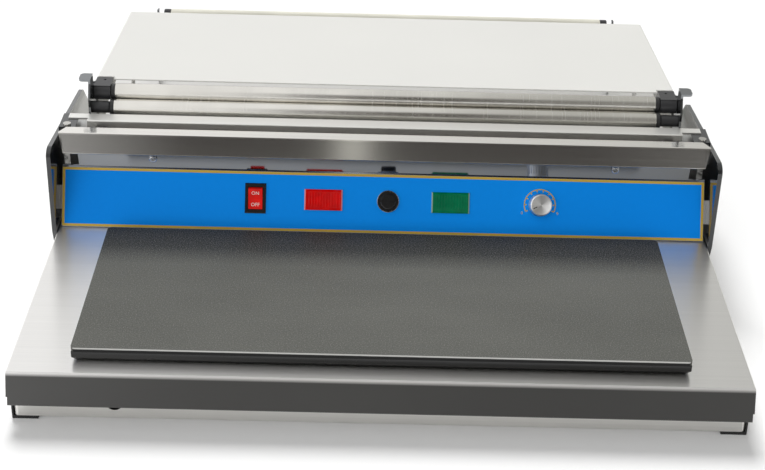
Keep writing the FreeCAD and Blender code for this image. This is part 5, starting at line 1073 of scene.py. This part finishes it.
# %% Model the skirt
SKIRT_FOLD, SKIRT_INSET, SKIRT_FOOT, SKIRT_GAP = 51.0 * MM, 0.25 * MM, 0.3 * MM, 0.1 * MM
frame_low, frame_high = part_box("hot_plate_frame")
cover_low, cover_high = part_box("hot_plate_cover")
low = Vector((cover_low.x + SKIRT_INSET, cover_low.y + SKIRT_INSET, frame_low.z + SKIRT_FOOT))
high = Vector((cover_high.x - SKIRT_INSET, cover_high.y - SKIRT_INSET, cover_low.z - SKIRT_GAP))
skirt = block(high - low, (low + high) / 2)
choose(skirt, lambda face: True)
bpy.ops.mesh.bisect(plane_co=(0.0, 0.0, SKIRT_FOLD), plane_no=(0.0, 0.0, 1.0))
leave()
choose(skirt, lambda face: face.normal.z < -0.9)
bpy.ops.transform.resize(value=((frame_high.x - frame_low.x) / (high.x - low.x),
                                (frame_high.y - frame_low.y) / (high.y - low.y), 1.0))
leave()
ease(skirt, 0.5 * MM, 3, 25.0)
skirt.name = "hot_plate_skirt"
skirt_surface = coated("skirt black sheet", (0.010, 0.010, 0.010), 0.26, 900.0, 0.04, 0.10)
finished(skirt, "frame", "frame_black", skirt_surface, ["hot_plate_frame"])
print("faces in the skirt:", len(skirt.data.polygons))

# %% [markdown]
# ## Words on the rocker
# The rocker says ON on its upper pad and OFF on its lower one, filled with white. The words are
# text turned into a mesh. They ride on the rocker, so they tip with it.

# %% Mark the rocker
SWITCH_X, SWITCH_OUT, ROCKER_THROW = -118.6, -0.7, math.radians(12.0)
PAD_LENGTH, CREST_TURN, PAD_FALL = 10.2, math.radians(22.0), 0.3
WORD_SLOPE, WORD_SIZE, WORD_DEPTH, WORD_GAP = 5.4, 4.6 * MM, 0.12 * MM, 0.03

rocker_place = panel_frame(SWITCH_X, out=SWITCH_OUT) @ Matrix.Rotation(ROCKER_THROW, 4, "X")
pad_slope = math.atan2(PAD_LENGTH * (math.sin(CREST_TURN) - PAD_FALL),
                       PAD_LENGTH * math.cos(CREST_TURN))
lift = PAD_FALL * PAD_LENGTH + WORD_SLOPE * math.tan(pad_slope) + WORD_GAP
words = []
for label, side in (("ON", 1), ("OFF", -1)):
    pad = Matrix.Translation(Vector((0.0, side * WORD_SLOPE, lift)) * MM)
    matrix = rocker_place @ pad @ Matrix.Rotation(side * pad_slope, 4, "X")
    words.append(raised_text(label, WORD_SIZE, WORD_DEPTH, matrix, 4))
rocker_words = join(words, "rocker_words")
finished(rocker_words, "rocker", "terminal_white", pale_print)
print("faces in the words:", len(rocker_words.data.polygons))

# %% [markdown]
# ## Floor
# The machine stands on a plain white table. A Light Path node tells rays that look at a surface,
# or at its mirror image, from rays that only carry its light. The floor glows a little for the
# first kind alone, so it is white and still keeps the machine's shadow.

# %% Floor
FLOOR_SIZE, FLOOR_LIFT = 8.0, 0.04


def looking(tree):
    """One for rays from the camera, off metal or through glass, and zero for the others."""
    path = add_node(tree, "ShaderNodeLightPath").outputs
    direct = combine(tree, "MAXIMUM", path["Is Camera Ray"], path["Is Glossy Ray"])
    return combine(tree, "MAXIMUM", direct, path["Is Transmission Ray"])


bpy.ops.mesh.primitive_plane_add(size=FLOOR_SIZE, location=(0.0, 0.0, 0.0))
floor = bpy.context.object
floor.name = "floor"
floor_surface, floor_tree, floor_shader = start_material("floor white")
constants(floor_shader, Base_Color=rgba(0.95, 0.95, 0.95), Roughness=0.9,
          Specular_IOR_Level=0.0, Emission_Color=rgba(1.0, 1.0, 1.0))
give(floor_tree, floor_shader.inputs["Emission Strength"],
     spread(floor_tree, looking(floor_tree), 0.0, FLOOR_LIFT))
floor.data.materials.append(floor_surface)

# %% [markdown]
# ## Room
# Polished steel shows what stands around it, so the room behind the camera is dark, with one
# narrow bright opening in it, and the far wall fades from white on the left to grey on the right.
# Rays that look at the room see it at its full strength. Rays that only carry its light get about
# half, so pale paint keeps its tone.

# %% World
ROOM_LIGHT = 0.45
WALL_FADE = (-0.22, 0.30)
DARK_DEPTH, DARK_HEIGHT = (-0.40, -0.05), (0.65, 0.90)
DARK_LEFT, DARK_RIGHT = (-0.26, -0.12), (0.14, 0.30)
OPENING_PLACE, OPENING_HALF = 0.011, 0.008


def room_light():
    """A white room that is dark behind the camera."""
    world = bpy.context.scene.world or bpy.data.worlds.new("room")
    bpy.context.scene.world = world
    world.use_nodes = True
    tree = world.node_tree
    tree.nodes.clear()
    direction = add_node(tree, "ShaderNodeTexCoord").outputs["Generated"]
    split = add_node(tree, "ShaderNodeSeparateXYZ", Vector=direction)
    side, depth, height = (split.outputs[axis] for axis in "XYZ")
    pale = blend_colours(tree, spread(tree, side, 0.0, 1.0, *WALL_FADE), rgba(1.0, 1.0, 1.0),
                         rgba(0.52, 0.52, 0.50))
    behind = combine(tree, "MULTIPLY", spread(tree, depth, 1.0, 0.0, *DARK_DEPTH),
                     spread(tree, height, 1.0, 0.0, *DARK_HEIGHT))
    behind = combine(tree, "MULTIPLY", behind, spread(tree, side, 0.0, 1.0, *DARK_LEFT))
    behind = combine(tree, "MULTIPLY", behind, spread(tree, side, 1.0, 0.5, *DARK_RIGHT))
    turn = combine(tree, "SUBTRACT", combine(tree, "DIVIDE", side, depth), OPENING_PLACE)
    opening = spread(tree, combine(tree, "ABSOLUTE", turn), 1.0, 0.0, OPENING_HALF * 0.7,
                     OPENING_HALF * 1.3)
    dark = blend_colours(tree, opening, rgba(0.040, 0.033, 0.028), rgba(1.5, 1.5, 1.4))
    colour = blend_colours(tree, behind, pale, dark)
    strength = spread(tree, looking(tree), ROOM_LIGHT, 1.0)
    room = add_node(tree, "ShaderNodeBackground", Color=colour, Strength=strength)
    output = tree.nodes.new("ShaderNodeOutputWorld")
    give(tree, output.inputs["Surface"], room.outputs["Background"])


room_light()
print("room ready")

# %% [markdown]
# ## Lamps
# Two wide suns stand for big soft boxes, far enough away to light the whole table alike. The
# stronger one comes from the rear left, so the front of the machine lies in its own soft shadow,
# and the weaker one fills from the front. Neither is seen in polished parts: the room does that.

# %% Lamps


def soft_sun(name, place, strength, angle):
    """A wide soft lamp that shines from a place to the middle of the table."""
    bpy.ops.object.light_add(type="SUN", location=place)
    lamp = bpy.context.object
    lamp.name = name
    lamp.data.energy = strength
    lamp.data.angle = math.radians(angle)
    lamp.rotation_euler = Vector(place).to_track_quat("Z", "Y").to_euler()
    lamp.visible_glossy = False
    print(name, "lamp:", strength)


soft_sun("key", (-0.20, 1.0, 1.2), 2.60, 24.0)
soft_sun("fill", (-0.2, -1.0, 0.5), 1.25, 60.0)

# %% [markdown]
# ## View
# Colours are shown as they are, without a film look.

# %% View settings
bpy.context.scene.view_settings.view_transform = "Standard"
print("view:", bpy.context.scene.view_settings.view_transform)
